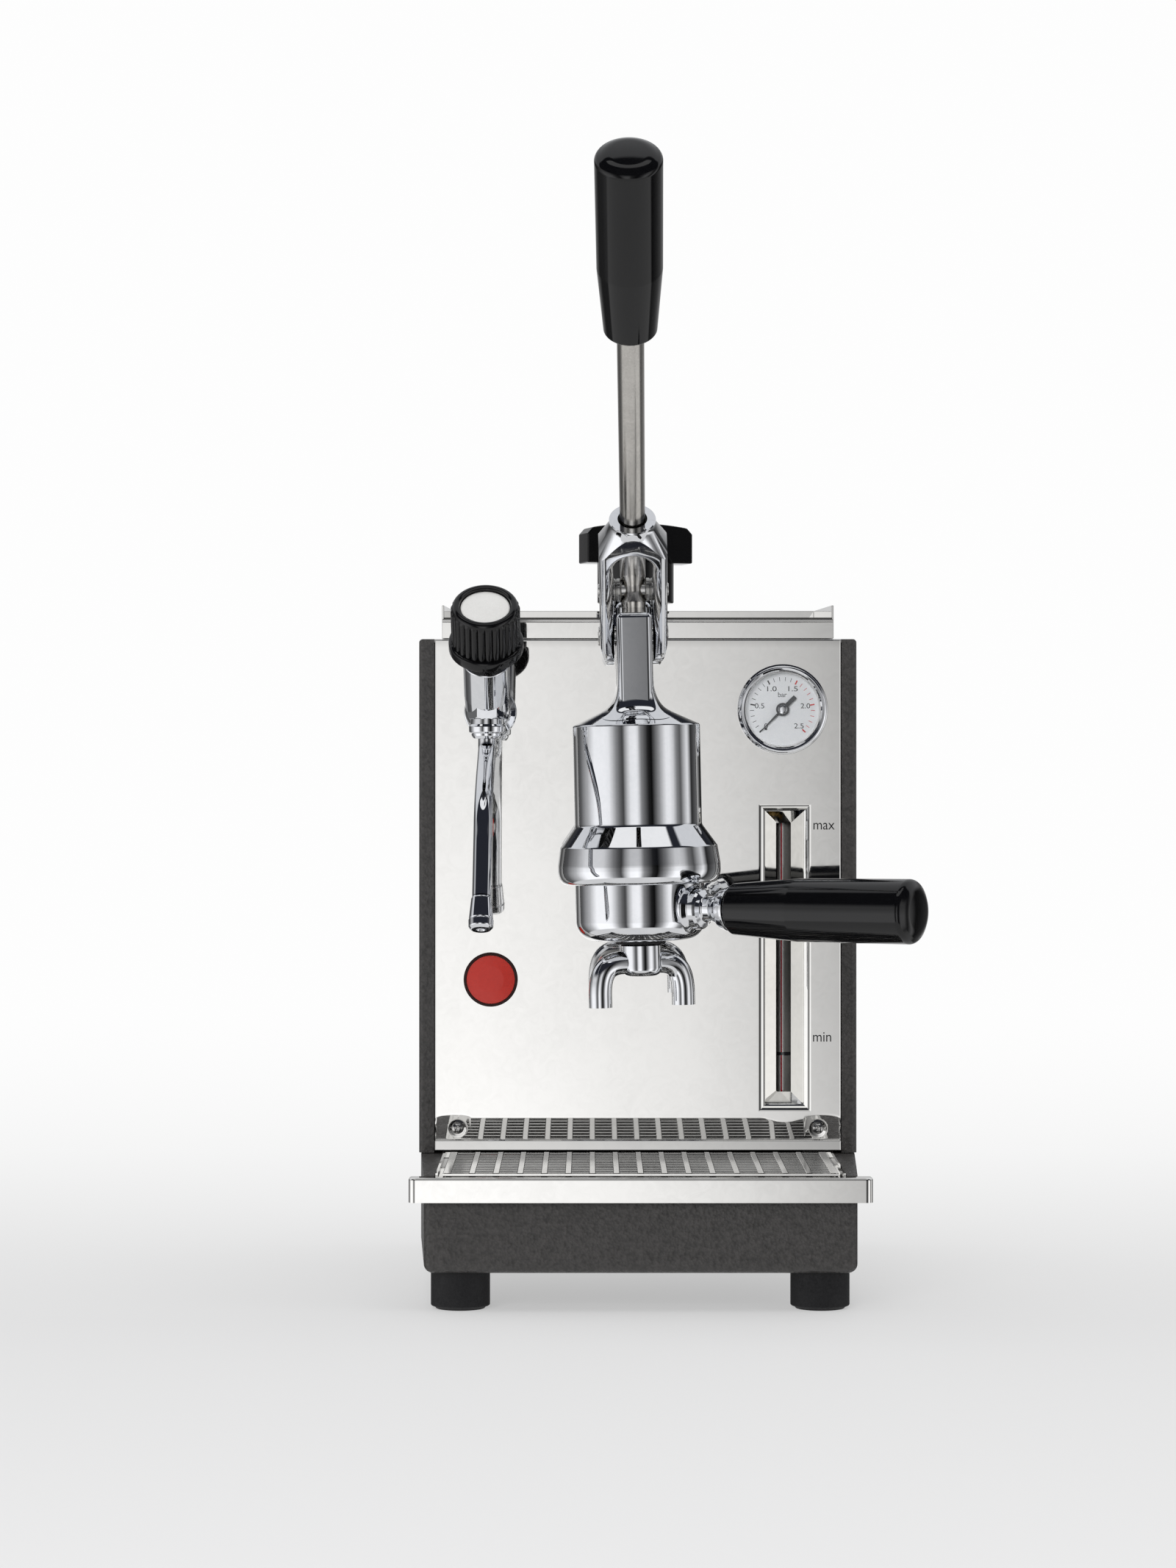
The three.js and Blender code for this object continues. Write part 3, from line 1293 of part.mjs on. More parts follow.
// Lever, built upright on the rod's pin and then leant forward.
function lever() {
  const lean = degrees(leverLean);
  const [across, along] = [
    fulcrumBack * Math.cos(lean) - fulcrumDrop * Math.sin(lean),
    -fulcrumBack * Math.sin(lean) - fulcrumDrop * Math.cos(lean),
  ];
  const width = spread(forkWidth);
  const flanks = join(
    sideways(belt([across, along, forkFulcrumRadius], [0, 0, forkPinRadius]), width),
    sideways(belt([0, 0, forkPinRadius], [0, forkSocketTop, forkSocketRadius + turnGap / 2]), width),
  );
  const wide = forkWidth * 2;
  const envelope = turned([
    [0, -wide], [wide, -wide], [wide, 0], [forkShoulderRadius, forkShoulder],
    [forkSocketRadius, forkSocketFoot],
    [forkSocketRadius, forkSocketTop], [0, forkSocketTop],
  ], middleSides);
  const opening = join(
    block(spread(forkOpening), [-wide, wide], [-wide, forkArchCentre]),
    rod(forkOpening / 2, [-wide, wide], middleSides).rotateX(Math.PI / 2).translate(0, 0, forkArchCentre),
  );
  const pinHole = (y, z) => rod(pinRadius + turnGap, [-wide, wide],
    smallSides).rotateY(Math.PI / 2).translate(0, y, z);
  const boreFoot = forkSocketTop - forkBoreDepth;
  const fork = cut(
    common(flanks, envelope),
    opening,
    pinHole(0, 0),
    pinHole(across, along),
    rod(leverRodRadius + seatGap, [boreFoot, forkSocketTop + overrun]),
  );
  const pinEnd = forkWidth / 2 + pinStandout;
  const pin = rod(pinRadius, spread(2 * pinEnd), fineSides).rotateY(Math.PI / 2).translate(0, across,
    along);
  const rodTopEnd = gripStart + leverRodSunk;
  const shaft = turned([
    [0, boreFoot + seatGap], [leverRodRadius, boreFoot + seatGap], [leverRodTopRadius, rodTopEnd],
    [0, rodTopEnd],
  ], 20);
  const handle = grip(leverRodTopRadius + seatGap, leverRodSunk + seatGap).translate(0, 0, gripStart);
  const group = gathered(
    piece("lever_fork", fork, "chrome"),
    piece("fork_pin", pin, "steel"),
    piece("lever_rod", shaft, "steel"),
    piece("lever_grip", handle, "bakelite"),
  );
  group.position.z = leverPinHeight;
  group.rotation.x = lean;
  return group;
}

// Portafilter, built with its handle along X and then turned towards the user.
function portafilter() {
  const inside = bowlRadius - bowlWall;
  const bowl = turned([[0, bowlFoot], [bowlRadius, bowlFoot, bowlRound], [bowlRadius, bowlTop],
    [0, bowlTop]], wideSides);
  const hollow = turned([
    [0, bowlFloor], [inside, bowlFloor, bowlRound - 2 * bowlWall], [inside, bowlTop + overrun],
    [0, bowlTop + overrun],
  ], wideSides);
  const ears = [0, 1].map((half) => earSector(
    earRadius, degrees(earPlace) + half * Math.PI, degrees(earSweep), [bowlTop - earHeight, bowlTop],
  ));
  const arm = turned([
    [0, 0], [handleBoss, 0], [handleBoss, handleBossEnd - handleEdge],
    [handleWaist, handleBossEnd + handleEdge],
    [handleWaist, handleFlareStart], [handleFlare, handleFlareEnd - handleEdge],
    [handleFlare, handleFlareEnd],
    [handleStud, handleFlareEnd], [handleStud, handleGripStart + handleStudLength],
    [0, handleGripStart + handleStudLength],
  ], 18).rotateY(Math.PI / 2).translate(0, 0, handleHeight);
  const drain = rod(bowlDrain, [bowlFoot - overrun, bowlFloor + overrun], smallSides);
  const body = cut(join(bowl, ...ears, arm), hollow, drain);

  const rimFoot = bowlTop + seatGap;
  const cupInner = basketRadius - basketWall;
  const cup = turned([
    [0, basketFoot], [basketRadius, basketFoot, 2 * basketWall], [basketRadius, rimFoot],
    [basketRim, rimFoot],
    [basketRim, rimFoot + basketRimThickness], [cupInner, rimFoot + basketRimThickness],
    [cupInner, basketFoot + basketWall, basketWall], [0, basketFoot + basketWall],
  ], wideSides, 2);
  const bores = [basketFoot - overrun, basketFoot + overrun];
  const basket = cut(
    cup,
    ...holes(basketHoles / 2, basketHoleRadius, cupInner / 3, bores),
    ...holes(basketHoles, basketHoleRadius, (cupInner * 2) / 3, bores),
  );
  const handle = grip(handleStud + seatGap, handleStudLength + seatGap).rotateY(Math.PI / 2)
    .translate(handleGripStart, 0, handleHeight);
  const group = gathered(
    piece("portafilter_body", body, "chrome"),
    piece("filter_basket", basket, "steel"),
    piece("portafilter_grip", handle, "bakelite"),
    piece("spout_gasket", ring(bowlDrain + seatGap, spoutGasketRadius,
      [spoutGasketTop - spoutGasketHeight, spoutGasketTop]), "rubber"),
    spout(),
  );
  group.rotation.z = -degrees(handleTurn);
  return group;
}

// Twin spout: a hub under the bowl with a bent tube to each side.
function spout() {
  const reach = spoutSpan;
  const drop = spoutTubeRadius * spoutSagShare;
  const limb = (side, radius, end) => {
    const route = new THREE.CubicBezierCurve3(
      new THREE.Vector3(0, 0, spoutCrown - drop * 2),
      new THREE.Vector3(side * reach * spoutBendShare, 0, spoutCrown + drop),
      new THREE.Vector3(side * reach, 0, spoutCrown - drop),
      new THREE.Vector3(side * reach, 0, spoutEnd + spoutTubeRadius),
    );
    const straight = rod(radius, [end, spoutEnd + spoutTubeRadius + spoutJoint],
      fineSides).translate(side * reach, 0, 0);
    return join(bar(radius, route, 5), straight);
  };
  const hub = turned([
    [0, spoutFoot], [spoutRadius, spoutFoot, spoutTubeRadius / 2], [spoutRadius, spoutTop], [0, spoutTop],
  ], middleSides, 2);
  const body = cut(
    join(hub, limb(-1, spoutTubeRadius, spoutEnd), limb(1, spoutTubeRadius, spoutEnd)),
    limb(-1, spoutTubeBore, spoutEnd - overrun),
    limb(1, spoutTubeBore, spoutEnd - overrun),
    rod(spoutTubeBore, [spoutCrown - drop * 3, spoutTop + overrun], 12),
  ).rotateZ(degrees(handleTurn + spoutTurn));
  return piece("spout", body, "chrome");
}

// Rocker switch and mains inlet, built facing the back of the machine.
function backFittings() {
  const wallFace = housingDepth + seatGap;
  const flangeHalf = switchWidth / 2 + switchFlange;
  const tallHalf = switchTall / 2 + switchFlange;
  const frame = cut(
    join(
      block(spread(2 * flangeHalf), [wallFace, wallFace + switchFlange], spread(2 * tallHalf)),
      block(spread(switchWidth), [wallFace - switchDepth, wallFace + switchFlange / 2], spread(switchTall)),
    ),
    block(spread(switchWidth - 2 * switchWall), [wallFace - switchDepth + switchWall, wallFace + overrun],
      spread(switchTall - 2 * switchWall)),
  );
  const frameMesh = piece("switch_frame", frame, "plastic");
  frameMesh.position.set(fittingOffset, 0, switchHeight);
  const rockerHalf = switchTall / 2 - switchWall - 2 * turnGap;
  const pivot = wallFace - rockerDepth / 2;
  const nose = switchFlange * 2;
  const rocker = sideways(rounded([
    [-rockerDepth / 2, -rockerHalf / 2, turnGap * 3], [rockerDepth / 2, -rockerHalf * rockerFaceShare],
    [rockerDepth / 2 + nose / 4, 0], [rockerDepth / 2, rockerHalf * rockerFaceShare],
    [-rockerDepth / 2, rockerHalf / 2, turnGap * 3],
  ], 2), spread(switchWidth - 2 * switchWall - 2 * turnGap));
  const rockerMesh = piece("power_switch", rocker, "plastic");
  rockerMesh.position.set(fittingOffset, pivot, switchHeight);
  rockerMesh.rotation.x = degrees(rockerTilt);

  const cavityWidth = inletWidth - 2 * inletWall;
  const cavityTall = inletTall - 2 * inletWall;
  const mouth = wallFace + inletFlangeThickness;
  const cavityFloor = mouth - inletCavity;
  const pins = [[-inletPinSpread, -inletPinRise / 2], [inletPinSpread, -inletPinRise / 2],
    [0, inletPinRise / 2]].map(([x, z]) => block(
    [x - inletPinWidth / 2, x + inletPinWidth / 2],
    [cavityFloor - inletWall / 2, cavityFloor + inletPinLength],
    [z - inletPinHeight / 2, z + inletPinHeight / 2],
  ));
  const inlet = join(
    cut(
      join(
        block(spread(inletWidth + 2 * inletFlange), [wallFace, mouth], spread(inletTall + 2 * inletFlange)),
        block(spread(inletWidth), [wallFace - inletDepth, mouth - inletFlangeThickness / 2],
          spread(inletTall)),
      ),
      block(spread(cavityWidth), [cavityFloor, mouth + overrun], spread(cavityTall)),
    ),
    ...pins,
  );
  const inletMesh = piece("mains_inlet", inlet, "plastic");
  inletMesh.position.set(fittingOffset, 0, inletHeight);
  return [frameMesh, rockerMesh, inletMesh];
}

const machine = gathered(
  basePan(), ...feet(), housingShell(), frontPanel(), ...panelScrews(), topPlate(), cupTray(), badge(),
  dripTray(), dripGrille(), ...boilerPieces(), ...boilerCap(), gauge(), gaugePipe(), sightGlass(),
  ...steamValve(), steamWand(), steamPipe(),
  hungOnNeck(groupBody(), groupInsides(), pistonPieces(), lever(), portafilter()), ...backFittings(),
);

// Origin: the middle of the whole machine's footprint, at the table.
const bounds = new THREE.Box3().setFromObject(machine, true);
const middle = bounds.getCenter(new THREE.Vector3());
machine.position.set(-middle.x, -middle.y, -bounds.min.z);

export default gathered(machine);
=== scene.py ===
import bpy
import bmesh
from math import acos, atan2, cos, hypot, pi, radians, sin, tan
from mathutils import Matrix, Vector


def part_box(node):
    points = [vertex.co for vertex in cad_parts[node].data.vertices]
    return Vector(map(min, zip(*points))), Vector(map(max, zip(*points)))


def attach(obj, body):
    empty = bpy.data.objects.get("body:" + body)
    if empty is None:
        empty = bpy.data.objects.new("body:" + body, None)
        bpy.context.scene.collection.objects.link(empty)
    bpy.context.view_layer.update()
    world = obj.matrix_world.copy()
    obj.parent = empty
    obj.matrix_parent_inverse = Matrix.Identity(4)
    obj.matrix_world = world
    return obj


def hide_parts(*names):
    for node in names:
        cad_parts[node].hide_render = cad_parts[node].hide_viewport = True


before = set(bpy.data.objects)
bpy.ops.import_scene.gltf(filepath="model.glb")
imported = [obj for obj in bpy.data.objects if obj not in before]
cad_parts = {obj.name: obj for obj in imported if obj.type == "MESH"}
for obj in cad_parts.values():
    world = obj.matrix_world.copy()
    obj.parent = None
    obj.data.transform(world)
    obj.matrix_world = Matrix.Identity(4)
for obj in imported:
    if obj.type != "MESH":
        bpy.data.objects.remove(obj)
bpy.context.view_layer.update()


# Places. Everything is drawn in millimetres: X right, Y back from the panel's face, Z up.

def at(x, y, z):
    return Matrix.Translation((x, y, z))


def tilt(angle, axis):
    return Matrix.Rotation(radians(angle), 4, axis)


shell_low, shell_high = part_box("housing_shell")
MACHINE = Matrix.Translation(((shell_low.x + shell_high.x) / 2, shell_low.y, 0)) @ Matrix.Scale(0.001, 4)
NECK_HEIGHT, PIN_HEIGHT, LEVER_LEAN = 231, 314, 45
GROUP = MACHINE @ at(-0.95, -55, NECK_HEIGHT) @ tilt(-1.25, "Y") @ at(0, 0, -NECK_HEIGHT)
GROUP_NECK = GROUP @ at(0, 0, NECK_HEIGHT) @ tilt(-90, "X")
LEVER = GROUP @ at(0, 0, PIN_HEIGHT) @ tilt(LEVER_LEAN, "X")
HANDLE = GROUP @ tilt(-33, "Z")
ARM = HANDLE @ at(0, 0, 173.2) @ tilt(90.7, "Y")
GAUGE = MACHINE @ at(66.0, 0, 261.8) @ tilt(90, "X")
BADGE = MACHINE @ at(-67.2, 0, 138.5) @ tilt(90, "X")
VALVE_X, VALVE_HEIGHT, WAND_Y, WAND_BORE = -67.3, 260.6, -58, 4.7
VALVE = MACHINE @ at(VALVE_X, -52, VALVE_HEIGHT)
VALVE_STEM = MACHINE @ at(VALVE_X, 0, VALVE_HEIGHT) @ tilt(90, "X")
KNOB = VALVE @ tilt(43, "X")
KNOB_BORE = tilt(-43, "X") @ at(0, -6, 0)
WAND = MACHINE @ at(VALVE_X, WAND_Y, 0) @ tilt(-1.6, "Z")
CAP = MACHINE @ at(0, 92, 0) @ tilt(15, "Z")


# Lines

def eased(corners, steps=8, closed=False):
    """The line through the corners (u, v, round), each corner turned with its own round."""
    line = []
    count = len(corners)
    for i, corner in enumerate(corners):
        point = Vector(corner[:2])
        bend = corner[2] if len(corner) > 2 else 0
        if not bend or (not closed and i in (0, count - 1)):
            line.append(point)
            continue
        before = Vector(corners[i - 1][:2]) - point
        after = Vector(corners[(i + 1) % count][:2]) - point
        half = before.angle(after) / 2
        reach = min(bend / tan(half), 0.49 * before.length, 0.49 * after.length)
        before.normalize()
        after.normalize()
        middle = point + (before + after).normalized() * (reach / cos(half))
        start, end = point + before * reach - middle, point + after * reach - middle
        sweep = start.angle(end)
        for k in range(steps + 1):
            t = k / steps
            turn = (start * sin((1 - t) * sweep) + end * sin(t * sweep)) / sin(sweep)
            line.append(middle + turn)
    return line


def curve(*points, steps=16):
    """A Bezier curve through two, three or four control points."""
    points = [Vector(p) for p in points]
    line = []
    for k in range(steps + 1):
        t = k / steps
        level = points
        while len(level) > 1:
            level = [a.lerp(b, t) for a, b in zip(level, level[1:])]
        line.append(level[0])
    return line


def graded(*stretches):
    """Lines across a sheet, closer together where it is shaped: (start, end, spacing)."""
    lines = []
    for start, end, spacing in stretches:
        count = max(1, round((end - start) / spacing))
        lines += [start + (end - start) * k / count for k in range(count)]
    return lines + [stretches[-1][1]]


def polar(radius, turn):
    return radius * cos(turn), radius * sin(turn)


def quarter(steps):
    """The angles of a quarter turn, for a rounded edge."""
    return [pi / 2 * k / steps for k in range(steps + 1)]


def across(outline):
    """The direction at right angles to a closed outline, at each of its points."""
    count = len(outline)
    alongs = [outline[(i + 1) % count] - outline[i - 1] for i in range(count)]
    return [Vector((along.y, -along.x)).normalized() for along in alongs]


# Meshes

def meshed(points, faces):
    mesh = bpy.data.meshes.new("mesh")
    mesh.from_pydata([tuple(p) for p in points], [], faces)
    shape = bmesh.new()
    shape.from_mesh(mesh)
    bmesh.ops.recalc_face_normals(shape, faces=shape.faces)
    shape.to_mesh(mesh)
    shape.free()
    return mesh


def turned(corners, sides=96, steps=8, closed=False):
    """A piece turned on a lathe from its half section (radius, height, round)."""
    points, faces, rows = [], [], []
    for radius, height in eased(corners, steps, closed):
        row = [len(points) + i for i in range(1 if radius < 1e-6 else sides)]
        rows.append(row)
        for i in row:
            angle = 2 * pi * (i - row[0]) / sides
            points.append((*polar(radius, angle), height))
    for low, high in list(zip(rows, rows[1:])) + ([(rows[-1], rows[0])] if closed else []):
        for i in range(sides):
            j = (i + 1) % sides
            if len(low) > 1 and len(high) > 1:
                faces.append((low[i], low[j], high[j], high[i]))
            elif len(low) > 1:
                faces.append((low[i], low[j], high[0]))
            elif len(high) > 1:
                faces.append((low[0], high[j], high[i]))
    return meshed(points, faces)


def lofted(rows, closed=True):
    """A skin over rows of the same number of points, with both ends filled."""
    count = len(rows[0])
    points = [p for row in rows for p in row]
    faces = []
    for k in range(len(rows) - 1):
        for i in range(count if closed else count - 1):
            j = (i + 1) % count
            a, b = k * count, (k + 1) * count
            faces.append((a + i, a + j, b + j, b + i))
    if closed:
        faces.append(tuple(range(count)))
        faces.append(tuple(range(len(points) - count, len(points))))
    return meshed(points, faces)


def swept(path, radius, sides):
    """A round bar along a path."""
    rows, side, before = [], None, None
    turns = [2 * pi * k / sides for k in range(sides)]
    for i, point in enumerate(path):
        along = (path[min(i + 1, len(path) - 1)] - path[max(i - 1, 0)]).normalized()
        side = (before.rotation_difference(along) @ side if i else along.orthogonal()).normalized()
        before = along
        other = along.cross(side)
        rows.append([point + (side * cos(t) + other * sin(t)) * radius for t in turns])
    return lofted(rows)


def prism(outline, low, high):
    """A flat outline pulled up from one height to another."""
    return lofted([[(u, v, low) for u, v in outline], [(u, v, high) for u, v in outline]])


def sideways(outline, reach):
    """An outline in (Y, Z) pulled out to both sides of the middle."""
    return lofted([[(-reach, u, v) for u, v in outline], [(reach, u, v) for u, v in outline]])


def slab(outline, reach, bend, steps=8):
    """An outline in (Y, Z) pulled out to both sides, with its long edges rounded."""
    twice = sum(a.x * b.y - b.x * a.y for a, b in zip(outline, outline[1:] + outline[:1]))
    inward = -1 if twice > 0 else 1
    ends = [(bend * (1 - sin(t)), reach - bend * (1 - cos(t))) for t in quarter(steps)]
    rows = [(inset, -x) for inset, x in ends] + [(inset, x) for inset, x in reversed(ends)]
    return lofted([[(x, p.x + n.x * inward * inset, p.y + n.y * inward * inset) for p,
                    n in zip(outline, across(outline))]
                   for inset, x in rows])


def block(wide, deep, high):
    (x0, x1), (y0, y1), (z0, z1) = wide, deep, high
    return prism([(x0, y0), (x1, y0), (x1, y1), (x0, y1)], z0, z1)


def drum(radius, low, high, sides=64):
    return turned([(0, low), (radius, low), (radius, high), (0, high)], sides)


def moved(mesh, place):
    mesh.transform(place)
    return mesh


def together(*meshes):
    shape = bmesh.new()
    for mesh in meshes:
        shape.from_mesh(mesh)
    joined = bpy.data.meshes.new("mesh")
    shape.to_mesh(joined)
    shape.free()
    return joined


def added(name, data):
    item = bpy.data.objects.new(name, data)
    bpy.context.scene.collection.objects.link(item)
    return item


def worked(mesh, kind, **settings):
    """The mesh with one modifier applied."""
    holder = added("holder", mesh)
    modifier = holder.modifiers.new(kind, kind)
    for setting, value in settings.items():
        setattr(modifier, setting, value)
    graph = bpy.context.evaluated_depsgraph_get()
    result = bpy.data.meshes.new_from_object(
        holder.evaluated_get(graph), preserve_all_data_layers=True, depsgraph=graph)
    bpy.data.objects.remove(holder)
    return result


def combined(operation, mesh, *tools):
    for tool in tools:
        other = added("tool", tool)
        mesh = worked(mesh, "BOOLEAN", operation=operation, object=other, solver="EXACT")
        bpy.data.objects.remove(other)
    return mesh


def cut(mesh, *tools):
    return combined("DIFFERENCE", mesh, *tools)


def fused(mesh, *others):
    return combined("UNION", mesh, *others)


def softened(mesh, width, segments=3, angle=30):
    """Every sharp edge rounded a little."""
    return worked(mesh, "BEVEL", width=width, segments=segments, limit_method="ANGLE",
                  angle_limit=radians(angle), use_clamp_overlap=True, harden_normals=False)


def lettering(text, width, height, thick=0.03):
    """Printed characters, centred, as wide and high as given."""
    font = bpy.data.curves.new("print", "FONT")
    font.body = text
    font.extrude = thick / 2
    holder = added("print", font)
    bpy.context.view_layer.update()
    graph = bpy.context.evaluated_depsgraph_get()
    mesh = bpy.data.meshes.new_from_object(holder.evaluated_get(graph), depsgraph=graph)
    bpy.data.objects.remove(holder)
    spots = [v.co for v in mesh.vertices]
    low = [min(v[k] for v in spots) for k in (0, 1)]
    high = [max(v[k] for v in spots) for k in (0, 1)]
    mesh.transform(at(-(low[0] + high[0]) / 2, -(low[1] + high[1]) / 2, 0))
    mesh.transform(Matrix.Diagonal((width / (high[0] - low[0]), height / (high[1] - low[1]), 1, 1)))
    return mesh


def piece(name, mesh, place, body, finish, replaces=(), sharp=30):
    """Puts a mesh in its place as a named piece that moves with a body."""
    mesh.transform(place)
    mesh.shade_smooth()
    mesh.set_sharp_from_angle(angle=radians(sharp))
    mesh = worked(mesh, "WEIGHTED_NORMAL", keep_sharp=True, weight=80)
    mesh.materials.clear()
    mesh.materials.append(finish)
    item = added(name, mesh)
    item.visible_shadow = finish["slot"] != "glass"
    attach(item, body)
    if replaces:
        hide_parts(*replaces)
    return item


def fixed(name, mesh, finish, replaces=(), sharp=30):
    """A piece in the machine's own place that doesn't move."""
    return piece(name, mesh, MACHINE, "machine", finish, replaces, sharp)


# Shader nodes

def put(tree, kind, inputs=None, **facts):
    node = tree.nodes.new("ShaderNode" + kind)
    for fact, value in facts.items():
        setattr(node, fact, value)
    for key, value in (inputs or {}).items():
        if isinstance(value, bpy.types.NodeSocket):
            tree.links.new(value, node.inputs[key])
        else:
            node.inputs[key].default_value = value
    return node


def tree_of(*values):
    """The node tree that the sockets among the values are in."""
    return next(v.id_data for v in values if isinstance(v, bpy.types.NodeSocket))


def math_of(operation, *values):
    return put(tree_of(*values), "Math", dict(enumerate(values)), operation=operation).outputs[0]


def times(one, other):
    return math_of("MULTIPLY", one, other)


def plus(one, other):
    return math_of("ADD", one, other)


def spread(value, start, end, bend="LINEAR"):
    """A value spread so that start becomes 0 and end becomes 1."""
    return put(value.id_data, "MapRange", {"Value": value, "From Min": start, "From Max": end},
               interpolation_type=bend).outputs[0]


def noise(place, size, detail, **more):
    return put(place.id_data, "TexNoise", {"Vector": place, "Scale": size, "Detail": detail, **more}).outputs[0]


def mixed(factor, one, other):
    """Two colours mixed."""
    tree = factor.id_data
    node = put(tree, "Mix", data_type="RGBA")
    colours = [s for s in node.inputs if s.type == "RGBA"]
    for socket, value in ((node.inputs["Factor"], factor), (colours[0], one), (colours[1], other)):
        if isinstance(value, bpy.types.NodeSocket):
            tree.links.new(value, socket)
        else:
            socket.default_value = value
    return [s for s in node.outputs if s.type == "RGBA"][0]


def effect(name, takes, gives):
    """An empty node group with named inputs and outputs."""
    tree = bpy.data.node_groups.new(name, "ShaderNodeTree")
    for label, value in takes.items():
        tree.interface.new_socket(label, in_out="INPUT", socket_type="NodeSocketFloat").default_value = value
    for label in gives:
        tree.interface.new_socket(label, in_out="OUTPUT", socket_type="NodeSocketFloat")
    return tree, tree.nodes.new("NodeGroupInput").outputs, tree.nodes.new("NodeGroupOutput").inputs


def object_place(tree):
    return put(tree, "TexCoord").outputs["Object"]


def handling_marks():
    """Wiped and fingered patches: the roughness goes up from an even value."""
    tree, takes, gives = effect("handling_marks", {"Even": 0.1, "Marks": 0.05, "Size": 30.0},
                                ["Roughness", "Mask"])
    place = object_place(tree)
    broad = noise(place, takes["Size"], 3.0)
    fine = noise(place, times(takes["Size"], 11.0), 5.0, Distortion=1.5)
    mask = spread(times(broad, fine), 0.14, 0.42)
    tree.links.new(mask, gives["Mask"])
    tree.links.new(plus(takes["Even"], times(mask, takes["Marks"])), gives["Roughness"])
    return tree


def sheet_waves():
    """The slow waviness of rolled and polished sheet, as a height in metres."""
    tree, takes, gives = effect("sheet_waves", {"Size": 12.0, "Depth": 0.0001}, ["Height"])
    waves = noise(object_place(tree), takes["Size"], 1.0, Roughness=0.3)
    tree.links.new(times(waves, takes["Depth"]), gives["Height"])
    return tree


def tool_lines(name, size, stretch, detail, roughness):
    """Fine lines left by a tool, drawn out along the axes where stretch is small."""
    tree, takes, gives = effect(name, {"Size": size, "Depth": 0.00001}, ["Height", "Tone"])
    place = put(tree, "VectorMath", {0: object_place(tree), 1: stretch}, operation="MULTIPLY").outputs[0]
    lines = noise(place, takes["Size"], detail, Roughness=roughness)
    tree.links.new(lines, gives["Tone"])
    tree.links.new(times(lines, takes["Depth"]), gives["Height"])
    return tree


def paint_grain():
    """The leathery texture of stove enamel: small round bumps of uneven size."""
    tree, takes, gives = effect("paint_grain", {"Size": 700.0, "Depth": 0.0001}, ["Height", "Tone"])
    place = object_place(tree)
    cells = put(tree, "TexVoronoi", {"Vector": place, "Scale": takes["Size"], "Randomness": 1.0},
                feature="SMOOTH_F1").outputs["Distance"]
    broad = noise(place, times(takes["Size"], 0.45), 4.0)
    bumps = math_of("SUBTRACT", broad, times(cells, 0.6))
    tree.links.new(spread(bumps, 0.0, 0.5), gives["Tone"])
    tree.links.new(times(bumps, takes["Depth"]), gives["Height"])
    return tree


def settled_dust():
    """A thin uneven film on faces that look up."""
    tree, takes, gives = effect("settled_dust", {"Amount": 0.2, "Size": 300.0}, ["Mask"])
    up = put(tree, "SeparateXYZ", {0: put(tree, "NewGeometry").outputs["Normal"]}).outputs["Z"]
    patchy = spread(noise(object_place(tree), takes["Size"], 6.0), 0.4, 0.7)
    film = times(times(spread(up, 0.6, 1.0), patchy), takes["Amount"])
    tree.links.new(film, gives["Mask"])
    return tree


HANDLING, WAVES, GRAIN, DUST = handling_marks(), sheet_waves(), paint_grain(), settled_dust()
BRUSH = tool_lines("brush_lines", 900.0, (0.02, 1.0, 1.0), 4.0, 0.7)
LATHE = tool_lines("lathe_lines", 1500.0, (0.03, 0.03, 1.0), 3.0, 0.5)


def linear(value):
    """A screen grey from 0 to 255 as light."""
    share = value / 255
    return share / 12.92 if share <= 0.04045 else ((share + 0.055) / 1.055) ** 2.4


def colour(red, green, blue):
    return (linear(red), linear(green), linear(blue), 1.0)


def blank(name):
    """A new material with its node tree and its shader."""
    material = bpy.data.materials.new(name)
    material.use_nodes = True
    return material, material.node_tree, material.node_tree.nodes["Principled BSDF"]


def relief(tree, shader, group, size, depth):
    """Gives the shader the bumps of a node group, and returns all that the group puts out."""
    texture = put(tree, "Group", {"Size": size, "Depth": depth}, node_tree=group).outputs
    raised = put(tree, "Bump", {"Height": texture["Height"], "Strength": 1.0, "Distance": 1.0})
    tree.links.new(raised.outputs[0], shader.inputs["Normal"])
    return texture


def surface(name, slot, tone, other, metallic, rough, bump, dust=0.0, specular=0.5):
    """A finish. Its colour goes from tone to other with the pattern of the bump's group, rough is the even
    roughness with the strength and size of its marks, and bump is a group with a size and a depth."""
    material, tree, shader = blank(name)
    shader.inputs["Metallic"].default_value = metallic
    shader.inputs["Specular IOR Level"].default_value = specular
    wiped = put(tree, "Group", dict(zip(("Even", "Marks", "Size"), rough)), node_tree=HANDLING).outputs
    texture = relief(tree, shader, *bump)
    pattern = texture["Tone"] if "Tone" in texture else wiped["Mask"]
    paint, roughness = mixed(pattern, colour(*tone), colour(*other)), wiped["Roughness"]
    if dust:
        film = put(tree, "Group", {"Amount": dust}, node_tree=DUST).outputs["Mask"]
        paint = mixed(film, paint, colour(150, 146, 140))
        roughness = plus(roughness, times(film, 0.5))
    tree.links.new(paint, shader.inputs["Base Color"])
    tree.links.new(roughness, shader.inputs["Roughness"])
    material["slot"] = slot
    return material


